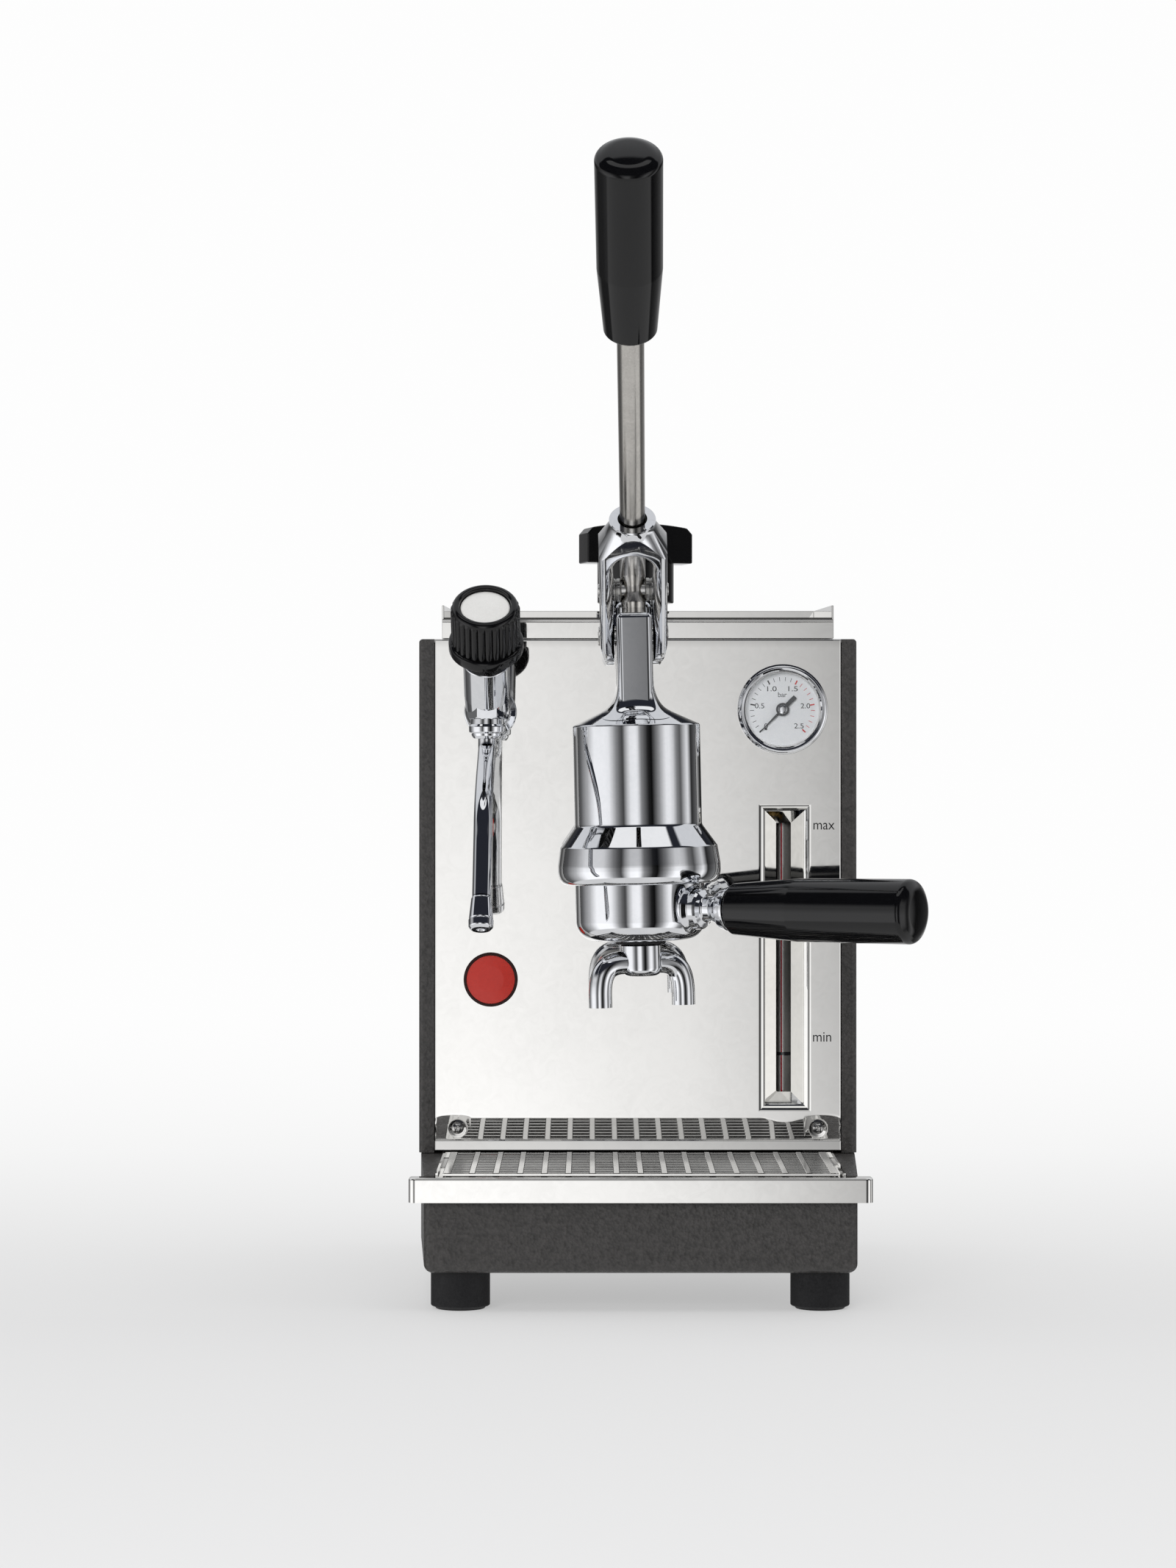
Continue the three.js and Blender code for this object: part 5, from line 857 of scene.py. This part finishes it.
def steam():
    bonnet = turned([(0, -4), (9.4, -4), (10.2, 10, 12), (10.3, 29, 0.8), (9.0, 30, 0.4), (7, 30.2), (7, 35, 0.6),
                     (3.3, 35), (3.3, 22), (0, 22)])
    piece("valve_bonnet", cut(bonnet, moved(drum(WAND_BORE, -30, 2), KNOB_BORE)), KNOB, "machine", CHROME)
    inlet = turned([(0, -4), (7.5, -4), (7.5, 0), (12, 0.3), (12, 2.4, 0.9), (9.4, 3.3, 0.6), (7.5, 4.6, 1.2),
                    (7.5, 46), (0, 46)])
    piece("valve_inlet", inlet, VALVE_STEM, "machine", CHROME)
    piece("valve_tail", turned([(0, -14), (7.5, -14, 0.5), (7.5, -3), (0, -3)]), VALVE_STEM, "machine", BRASS)
    ball = turned([(0, -10.2)] + [polar(10.2, pi * (k - 11) / 24) for k in range(23)] + [(0, 10.2)])
    piece("valve_heart", cut(ball, moved(drum(WAND_BORE, -20, 1), at(0, -6, 0))), VALVE, "machine", CHROME)
    flats = [polar(8.7, pi * k / 3) for k in range(6)]
    hexagon = combined("INTERSECT", prism(flats, 256.9, 267), turned([(0, 256.9), (7.9, 256.9), (8.8, 257.8),
                                                                      (8.8, 265.4), (7.7, 267), (0, 267)]))
    hexagon = softened(cut(hexagon, drum(WAND_BORE, 250, 262)), 0.2)
    piece("valve_hexagon", hexagon, MACHINE @ at(VALVE_X, WAND_Y, 0), "machine", CHROME, ["steam_valve_body"])
    nut = turned([(4.75, 248.0), (6.0, 248.0, 0.6), (6.9, 249.2, 0.9), (7.1, 250.4, 0.3), (8.1, 250.8, 0.7),
                  (8.2, 253.4, 0.9), (7.5, 254.4, 0.3), (7.3, 256.7), (4.75, 256.7)], 96, 6, True)
    piece("swivel_nut", nut, WAND, "machine", CHROME, ["wand_nut"])

    reach, foot = -47, 179.5
    shares = [(0, 0.97), (0.08, 0.9), (0.36, 0.765), (0.68, 0.562), (0.81, 0.34), (0.916, 0.15)]
    knots = [Vector((0, 0, 260.7))] + [Vector((0, reach * lead, foot + rise * 68.5)) for lead, rise in shares]
    knots.append(Vector((0, reach, 179.8)))
    route = []
    for i in range(len(knots) - 1):
        a, b, c, d = knots[max(i - 1, 0)], knots[i], knots[i + 1], knots[min(i + 2, len(knots) - 1)]
        for k in range(10):
            t = k / 10
            route.append(0.5 * (2 * b + (c - a) * t + (2 * a - 5 * b + 4 * c - d) * t * t
                                + (3 * b - a - 3 * c + d) * t ** 3))
    route.append(knots[-1])
    piece("wand", swept(route, 4.05, 48), WAND, "steam_wand", CHROME, ["steam_wand"])
    tip = turned([(0, -14.0), (1.6, -14.0, 0.2), (1.9, -14.9, 0.2), (4.2, -14.9, 0.8), (5.35, -13.6, 0.9),
                  (5.45, -10.6, 0.3), (5.1, -10.2, 0.15), (5.25, -9.8, 0.2), (4.45, -0.9, 0.4), (4.15, -0.5, 0.15),
                  (4.1, 0), (0, 0)], 64)
    holes = [moved(drum(0.55, -16, -12, 16), tilt(a, "Z") @ at(3.0, 0, 0)) for a in (50, 170, 290)]
    piece("nozzle", cut(tip, *holes), WAND @ at(0, reach, foot) @ tilt(-21, "X"), "steam_wand", CHROME, ["wand_tip"])

    start, end, skirt, radius, depth, flutes, steps = 36.6, 61.8, 5, 15.15, 0.9, 28, 12
    ring = []
    for k in range(flutes * steps):
        share = (k % steps) / steps
        groove = sin(pi * share) ** 0.55 if share else 0
        ring.append((2 * pi * k / (flutes * steps), radius - depth + depth * groove))
    plain = lambda r, z: [(*polar(r, a), z) for a, _ in ring]
    fluted = lambda inset, z: [(*polar(r - inset, a), z) for a, r in ring]
    rows = [plain(3.4, 50), plain(3.4, start + 0.4), plain(3.8, start), plain(15.6, start), plain(16.2, start + 0.3),
            plain(16.4, start + 0.9), plain(16.4, start + skirt - 1), plain(16.2, start + skirt - 0.4),
            plain(15.7, start + skirt)]
    rows += [fluted(0.25, start + skirt + 0.1), fluted(0.0, start + skirt + 0.5), fluted(0, start + 12),
             fluted(0, end - 3.2), fluted(0.12, end - 2.7)]
    rows += [plain(14.5 - 1.9 * (1 - cos(t)), end - 2.0 + 2.0 * sin(t)) for t in quarter(8)]
    rows += [plain(11.9, end), plain(11.3, end - 0.3), plain(11.1, end - 0.8), plain(11.05, end - 2.3)]
    piece("knob", lofted(rows), KNOB, "steam_knob", BAKELITE, ["steam_knob"], 40)
    disc = turned([(0, 59.4), (10.7, 59.4), (10.7, 60.15, 0.25), (10, 60.3, 0.3), (0, 60.3)])
    piece("knob_plate", disc, KNOB, "steam_knob", PLATE, ["knob_disc"])
    spindle = turned([(0, 22.2), (3, 22.2), (3, 48.2), (0, 48.2)], 48)
    piece("spindle", spindle, KNOB, "steam_knob", STEEL, ["steam_spindle"])


# Group, piston rod and pins

BARREL_RADIUS, BARREL_TOP = 28.25, 254.4


def dome_height(radius):
    return BARREL_TOP + (BARREL_RADIUS - min(radius, BARREL_RADIUS)) * 8.5 / 18.75


def group():
    foot = [(32.6 + 3.5 * sin(t), 190.4 - 6.4 * cos(t)) for t in quarter(14)]
    flare = [(34.9, 200.4, 2.0), (BARREL_RADIUS, 209.8, 2.6)]
    casting = turned([(29.2, 187.6), (29.2, 184.3, 0.2), (29.5, 184.0)] + foot + [(36.1, 192.2, 8)] + flare
                     + [(BARREL_RADIUS, 254.1, 1.0), (7, 264), (0, 264)], 160)
    inside = turned([(29.2, 187.6), (33, 187.6), (33, 198.9), (25.8, 198.9), (24.6, 230), (24.6, 255.2), (7.4, 261.8),
                     (0, 261.8)], 96)
    side = eased([(-16.4, 256, 2.6), (-14.0, 303.7, 2.8), (-7.2, 303.7, 2.8), (-7.2, 283, 1.2), (6.6, 283, 1.2),
                  (6.6, 309, 2.8), (39, 309, 4), (39, 279, 4), (24, 256, 2.6)], 8, True)
    lowest, swing, steps = -25, 80, 5
    places = [fulcrum(radians(lowest + swing * k / steps)) for k in range(steps + 1)]
    slot = [sideways(belt((*a, 3.35), (*b, 3.35), 16), 20) for a, b in zip(places, places[1:])]
    half, bend = 7.85, 2.6
    tower = slab(side, half, bend)
    for vertex in tower.vertices:
        vertex.co.y += 0.045 * vertex.co.x if vertex.co.y < -10 else 0
    tower = cut(tower, drum(5.8, 250, 320, 48), *slot)
    piece("group_casting", casting, GROUP, "machine", CHROME, ["group_body"], 24)
    piece("group_inside", inside, GROUP, "machine", BRASS)
    piece("group_tower", tower, GROUP, "machine", CHROME, (), 24)
    outline = eased([(-half, -16.2, bend), (half, -15.4, bend), (half, 24, 2.4), (-half, 24, 2.4)], 12, True)
    dense = []
    for a, b in zip(outline, outline[1:] + outline[:1]):
        count = max(1, int((b - a).length / 1.2))
        dense += [a.lerp(b, k / count) for k in range(count)]
    rows, steps, reach, edge = [], 14, 7.4, 27.4
    for k in range(steps + 1):
        t = k / steps
        row = []
        for p, n in zip(dense, across(dense)):
            end = p + n * reach
            end = end if end.length < edge else p + n * max(0.0, edge - p.length)
            a = Vector((p.x, p.y, dome_height(p.length) + 14 - 7 * max(0.0, -n.y)))
            b = Vector((p.x, p.y, dome_height(p.length)))
            c = Vector((end.x, end.y, dome_height(end.length) - 0.03))
            row.append(a * (1 - t) ** 2 + b * 2 * t * (1 - t) + c * t * t)
        rows.append(row)
    piece("tower_fillet", lofted(rows), GROUP, "machine", CHROME, (), 60)
    neck = turned([(0, 20), (17, 20), (17, 76, 3), (19, 79.5, 1), (24, 80, 0.6), (24, 86, 0.6), (0, 86)])
    piece("group_neck", neck, GROUP_NECK, "machine", CHROME)
    collar = turned([(17.1, 52.4), (19.6, 52.4, 0.6), (19.6, 54.6), (17.1, 54.6)], 96, 6, True)
    piece("neck_ring", collar, GROUP_NECK, "machine", CHROME)


PIN_BACK, PIN_DOWN, DROP = 24, 18, 26


def pin_apart(turn):
    """The way from the lever's first pin to its second (Y, Z), with the lever turned by an angle."""
    return PIN_BACK * cos(turn) + PIN_DOWN * sin(turn), PIN_BACK * sin(turn) - PIN_DOWN * cos(turn)


def fulcrum(turn):
    """Where the lever's second pin is in the tower (Y, Z). The first goes down by DROP for each radian."""
    back, up = pin_apart(turn)
    return back, PIN_HEIGHT - DROP * turn + up


def belt(one, other, steps=40):
    """The outline round two circles (u, v, radius)."""
    (ax, ay, ar), (bx, by, br) = one, other
    along = Vector((bx - ax, by - ay))
    base = atan2(along.y, along.x)
    swing = acos(max(-1, min(1, (ar - br) / along.length)))
    line = []
    for x, y, radius, start, sweep in ((bx, by, br, base - swing, 2 * swing),
                                       (ax, ay, ar, base + swing, 2 * pi - 2 * swing)):
        turns = [start + sweep * k / steps for k in range(steps + 1)]
        line += [(x + radius * cos(t), y + radius * sin(t)) for t in turns]
    return line


def cross_pin(y, z):
    """A pin that lies across the machine."""
    pin = turned([(0, -15.7), (2.6, -15.7), (3, -15.3, 0.1), (3, 15.3, 0.1), (2.6, 15.7), (0, 15.7)], 48)
    return moved(pin, at(0, y, z) @ tilt(90, "Y"))


def piston_rod():
    shaft = turned([(0, 230), (4, 230), (4, 242), (5.25, 242), (5.25, 306, 1), (5.6, 308.5, 2), (4.45, 313, 4),
                    (4.45, 315.5, 4), (5.5, 319.6, 0.5), (5.6, 320.2, 0.2), (5.6, 329.5, 0.8), (0, 329.5)], 64)
    piece("rod", shaft, GROUP, "piston", ROD, ["piston_rod"])
    for name, side in (("rod_spacer_left", -90), ("rod_spacer_right", 90)):
        spacer = turned([(3.05, 5.2), (4.6, 5.2, 0.3), (5.2, 5.8, 0.3), (5.2, 7.2, 0.3), (4.7, 7.4), (4.7, 7.7),
                         (5.2, 7.9, 0.2), (5.2, 8.4, 0.2), (3.05, 8.4)], 64, 4, True)
        # The spacers take the darker copy of steel that carries painted shade
        piece(name, moved(spacer, at(0, 0, PIN_HEIGHT) @ tilt(side, "Y")), GROUP, "piston", PAINTED_SHADE_STEEL)
    piece("upper_pin", cross_pin(0, PIN_HEIGHT), GROUP, "piston", STEEL, ["rod_pin"])


# Lever

def lever():
    back, down = pin_apart(-radians(LEVER_LEAN))
    flanks = fused(slab([Vector(v) for v in belt((back, down, 13.2), (0, 0, 10.5))], 15, 3.2),
                   slab([Vector(v) for v in belt((0, 0, 10.5), (0, 42, 10.4))], 15, 3.2))
    front = eased([(15.2, 45), (15.2, -26, 14), (11.4, -45, 1), (-11.4, -45, 1), (-15.2, -26, 14), (-15.2, 45)], 8,
                  True)

    def chest_section(z, front_x, front_y, side_x, side_y):
        corners = ((-front_x, -front_y), (front_x, -front_y), (side_x, -side_y), (side_x, side_y),
                   (front_x, front_y), (-front_x, front_y), (-side_x, side_y), (-side_x, -side_y))
        return [(x, y, z) for x, y in corners]
    chest = lofted([chest_section(*row) for row in ((-60, 22, 20, 26, 12), (20, 22, 20, 26, 12),
                                                    (31, 11.8, 10.45, 15.6, 6), (45, 3.4, 10.45, 9.1, 4.1))])
    boss = turned([(0, -60), (60, -60), (60, 5), (25.1, 12), (10.25, 38.5), (10.25, 41.5), (9.8, 42), (0, 42)], 128)
    fork = combined("INTERSECT", flanks, chest, boss, lofted([[(x, y, z) for x, z in front] for y in (-60, 60)]))

    def arch(flared, y):
        wide, high = 8.6 + flared, 18
        turns = [pi * k / 24 for k in range(1, 24)]
        return ([(wide, y, -60), (wide, y, high)]
                + [(wide * cos(t), y, high + wide * sin(t)) for t in turns]
                + [(-wide, y, high), (-wide, y, -60)])
    flare = [(4.6, -14), (3.4, -10.5), (2.4, -9.9), (1.5, -9.1), (0.8, -8.0), (0.3, -6.6), (0.0, -4.8)]
    opening = lofted([arch(*step) for step in flare] + [arch(flared, -y) for flared, y in reversed(flare)])
    hole = lambda y, z, r: moved(drum(r, -40, 40, 40), at(0, y, z) @ tilt(90, "Y"))
    fork = cut(fork, opening, hole(0, 0, 3.15), hole(back, down, 3.15), drum(6.5, 30, 60, 64))
    piece("fork", softened(fork, 0.35, 3, 32), LEVER, "lever", CHROME, ["lever_fork"], 35)
    piece("lower_pin", cross_pin(back, down), LEVER, "lever", STEEL, ["fork_pin"])
    shaft = turned([(0, 30.3), (6.2, 30.3), (6.2, 36.6, 0.4), (5.5, 37.2, 0.4), (5.5, 44), (5.8, 162.8), (0, 162.8)])
    piece("lever_shaft", shaft, LEVER, "lever", ROD, ["lever_rod"])
    piece("lever_handle", grip(6.1), LEVER @ at(0, 0, 146.8), "lever", BAKELITE, ["lever_grip"])


def grip(hole):
    """A turned handle with a hole in its foot."""
    return turned([(hole, 8), (hole, 0.2), (hole + 0.2, 0), (11.25, 0, 1.4), (13.75, 33, 3), (13.95, 88.3, 2.8),
                   (9.6, 90.9, 9), (0, 92)], 128, 10)


# Portafilter and spout

def portafilter():
    bowl = turned([(11, 159), (28.65, 159, 9.5), (28.65, 192.4), (26.45, 192.4), (26.45, 163, 5), (4, 163), (4, 159),
                   (11, 159)], 160, 14)
    piece("bowl", bowl, HANDLE, "portafilter", CHROME, ["portafilter_body"], 24)
    for name, start in (("ear_far", 20), ("ear_near", 200)):
        turns = [radians(start + a) for a in (-17, -8.5, 0, 8.5, 17)]
        ear = [polar(28.2, t) for t in turns]
        ear += [polar(32.4, t) for t in reversed(turns)]
        piece(name, softened(prism(ear, 188, 192.4), 0.4), HANDLE, "portafilter", CHROME)
    arm = turned([(0, 20), (11.5, 20), (11.2, 27.6, 1.5), (9.3, 29.6, 1.2), (9.0, 32.2, 0.5), (8.2, 33.2, 0.4),
                  (5.6, 34.6, 1.6), (5.6, 38.6, 2.2), (8.9, 43.2, 3.5), (9.8, 46.4, 1.0), (9.8, 47.5, 0.3), (4, 47.5),
                  (4, 64), (0, 64)], 128, 8)
    piece("handle_arm", arm, ARM, "portafilter", CHROME)
    piece("handle", grip(4.3), ARM @ at(0, 0, 48.5), "portafilter", BAKELITE, ["portafilter_grip"])
    basket = turned([(0, 168.5), (25.9, 168.5, 1.4), (25.9, 192.7), (30, 192.7), (30, 193.6, 0.3), (25.2, 193.6, 0.3),
                     (25.2, 169.2, 0.7), (0, 169.2)], 96)
    piece("basket", basket, HANDLE, "portafilter", STEEL, ["filter_basket"])
    ring = turned([(4.3, 157.2), (11, 157.2, 0.5), (11, 158.7), (4.3, 158.7)], 96, 6, True)
    piece("spout_ring", ring, HANDLE, "portafilter", RUBBER, ["spout_gasket"])

    hub = turned([(0, 143), (9.15, 143, 3.6), (9.15, 156.9, 0.6), (0, 156.9)], 96, 8)
    tubes, bores = [], []
    for side, x in ((-1, -19.4), (1, 19.4)):
        route = curve((0, 0, 148.2), (side * 14.6, 0, 150.9), (x, 0, 147.9), (x, 0, 134.8), steps=28)
        route.append(Vector((x, 0, 129.6)))
        tubes.append(swept(route, 5.15, 56))
        bores.append(moved(drum(3.9, 120, 141, 48), at(x, 0, 0)))
    spout = cut(fused(hub, *tubes), *bores)
    piece("twin_spout", softened(spout, 0.35, 3, 35), GROUP @ tilt(18, "Z"), "portafilter", CHROME, ["spout"], 28)


# What stays from the solids gets its own finish

def inner_pieces():
    finishes = {finish["slot"]: finish for finish in (PAINT, CHROME, MIRROR, STEEL, BAKELITE, RUBBER, BRASS, ENAMEL,
                                                      DIAL, INK, GLASS, SATIN, PLASTIC)}
    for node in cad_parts.values():
        for place in node.material_slots:
            place.material = finishes[place.material.name.split(".")[0]]
        if not node.hide_render:
            modifier = node.modifiers.new("soft_edges", "BEVEL")
            modifier.width, modifier.segments, modifier.limit_method = 0.0003, 2, "ANGLE"


# Studio

BACKDROP = 0.985


def rays(tree):
    """Whether a ray comes straight from the camera, and whether it was mirrored or let through."""
    path = put(tree, "LightPath").outputs
    return path["Is Camera Ray"], math_of("MAXIMUM", path["Is Glossy Ray"], path["Is Transmission Ray"])


def studio():
    world = bpy.data.worlds.new("studio")
    bpy.context.scene.world = world
    world.use_nodes = True
    tree = world.node_tree
    tree.nodes.clear()
    place = put(tree, "SeparateXYZ", {0: put(tree, "TexCoord").outputs["Generated"]}).outputs
    turn = math_of("ARCTAN2", place["X"], times(place["Y"], -1.0))
    round_share = plus(math_of("DIVIDE", turn, 2 * pi), 0.5)
    strips = put(tree, "ValToRGB", {0: round_share})
    # Bright and dark strips round the machine: angle from the front, screen grey
    levels = [(-180, 200), (-141, 56), (-125, 83), (-102, 163), (-92, 205), (-84, 240), (-60, 250), (-53, 225),
              (-39, 136), (-32, 93), (-26, 60), (-19, 177), (-13, 224), (-6, 246), (-2, 240), (2, 204), (4, 162),
              (7, 122), (13, 85), (19, 32), (26, 8), (32, 88), (39, 138), (53, 230), (60, 241), (67, 208), (75, 129),
              (84, 84), (102, 221), (113, 36), (141, 111), (180, 200)]
    ramp_nodes = strips.color_ramp.elements
    while len(ramp_nodes) < len(levels):
        ramp_nodes.new(0.5)
    for element, (angle, level) in zip(ramp_nodes, levels):
        element.position = (angle + 180) / 360
        light = min(1.0, linear(level) / 0.8)
        element.color = (light, light, light * 1.01, 1)
    up, back = place["Z"], place["Y"]

    def smooth(value, start, end):
        return spread(value, start, end, "SMOOTHSTEP")
    near_level = math_of("MINIMUM", math_of("MAXIMUM", up, -0.12), 0.12)
    grade = math_of("SUBTRACT", 1.0, times(near_level, 2.0))
    band = put(tree, "VectorMath", {0: strips.outputs[0], "Scale": grade}, operation="SCALE").outputs[0]
    # Overhead: a dark room in front with one bright window, and a light wall behind
    behind = smooth(back, 0.0, 0.06)
    ceiling = mixed(behind, (0.022, 0.024, 0.032, 1), (0.72, 0.73, 0.75, 1))
    window = times(smooth(up, 0.80, 0.82), smooth(up, 0.97, 0.95))
    window = times(window, times(smooth(place["X"], -0.54, -0.5), smooth(place["X"], 0.54, 0.5)))
    window = times(window, smooth(back, -0.1, -0.14))
    ceiling = mixed(window, ceiling, (1.0, 1.0, 1.0, 1))
    lights = mixed(smooth(up, 0.2, 0.42), band, ceiling)
    lights = mixed(smooth(up, -0.5, -0.57), lights, (0.74, 0.74, 0.74, 1))
    direct, glossy = rays(tree)
    seen = put(tree, "Background", {"Color": (BACKDROP, BACKDROP, BACKDROP, 1), "Strength": 1.0})
    soft = put(tree, "Background", {"Color": (0.75, 0.75, 0.76, 1), "Strength": 0.75})
    sheen = put(tree, "Background", {"Color": lights, "Strength": 1.0})
    one = put(tree, "MixShader", {0: glossy, 1: soft.outputs[0], 2: sheen.outputs[0]})
    two = put(tree, "MixShader", {0: direct, 1: one.outputs[0], 2: seen.outputs[0]})
    tree.links.new(two.outputs[0], put(tree, "OutputWorld").inputs[0])

    floor_mesh = meshed([(-4, -4, 0), (4, -4, 0), (4, 9, 0), (-4, 9, 0)], [(0, 1, 2, 3)])
    floor = added("floor", floor_mesh)
    material, tree, shader = blank("floor_sweep_painted_shading")
    shader.inputs["Base Color"].default_value = (0.80, 0.80, 0.80, 1)
    shader.inputs["Roughness"].default_value = 0.7
    shader.inputs["Specular IOR Level"].default_value = 0.1
    # The floor glows by itself for camera rays, a painted gradient: painted shade darkest round the machine, a little
    # painted light towards the front, as light as the backdrop far from it. Mixed over the lit floor, the glow also
    # lightens its real shadows
    spot = put(tree, "SeparateXYZ", {0: put(tree, "NewGeometry").outputs["Position"]}).outputs
    away = math_of("MAXIMUM", plus(spot["Y"], 0.1), 0.0)
    far = math_of("SUBTRACT", 1.0, math_of("EXPONENT", times(away, -1.8)))
    near = times(spread(spot["Y"], -0.1, -0.6), 0.03)
    level = plus(plus(0.69, near), times(far, 0.3))
    flat = put(tree, "CombineXYZ", {0: spot["X"], 1: spot["Y"]}).outputs[0]
    apart = put(tree, "VectorMath", {0: flat}, operation="LENGTH").outputs["Value"]
    rim = spread(apart, 1.2, 3.2, "SMOOTHSTEP")
    level = plus(level, times(math_of("SUBTRACT", BACKDROP, level), rim))
    painted_floor_glow = put(tree, "Emission", {"Color": (1.0, 1.0, 1.0, 1), "Strength": level})
    direct, glossy = rays(tree)
    share = plus(plus(0.55, times(far, 0.6)), rim)
    share = times(math_of("MINIMUM", share, 1.0), direct)
    sweep = put(tree, "MixShader", {0: share, 1: shader.outputs[0], 2: painted_floor_glow.outputs[0]})
    clear = put(tree, "BsdfTransparent")
    whole = put(tree, "MixShader", {0: glossy, 1: sweep.outputs[0], 2: clear.outputs[0]})
    tree.links.new(whole.outputs[0], tree.nodes["Material Output"].inputs[0])
    floor_mesh.materials.append(material)

    def lamp(name, place, aim, size, power):
        light = bpy.data.lights.new(name, "AREA")
        light.shape, light.size, light.size_y, light.energy = "RECTANGLE", size[0], size[1], power
        item = added(name, light)
        item.location = place
        item.rotation_euler = (Vector(aim) - Vector(place)).to_track_quat("-Z", "Y").to_euler()
        item.visible_glossy = item.visible_transmission = item.visible_camera = False
    lamp("top_light", (0, -0.1, 1.9), (0, 0, 0), (1.8, 1.8), 15)
    lamp("front_light", (-0.7, -2.3, 0.9), (0, 0, 0.2), (1.4, 1.0), 34)
    lamp("side_light", (1.9, -0.8, 0.9), (0, 0, 0.2), (1.0, 1.0), 7)


def camera():
    lens = bpy.data.cameras.new("view")
    lens.lens, lens.sensor_width = 92.0, 36.0
    photo_height = 2133
    lens.shift_x, lens.shift_y = -2 / photo_height, -21.5 / photo_height
    lens.dof.use_dof = False
    item = added("view", lens)
    item.location = (-0.032934, -1.797339, 0.235)
    item.rotation_euler = (pi / 2, 0, 0)
    bpy.context.scene.camera = item
    bpy.context.scene.view_settings.view_transform = "Standard"


base_pan()
housing()
front_panel()
sight()
badge()
cup_tray()
drip_tray()
drip_grille()
boiler_cap()
gauge()
steam()
group()
piston_rod()
lever()
portafilter()
inner_pieces()
studio()
camera()
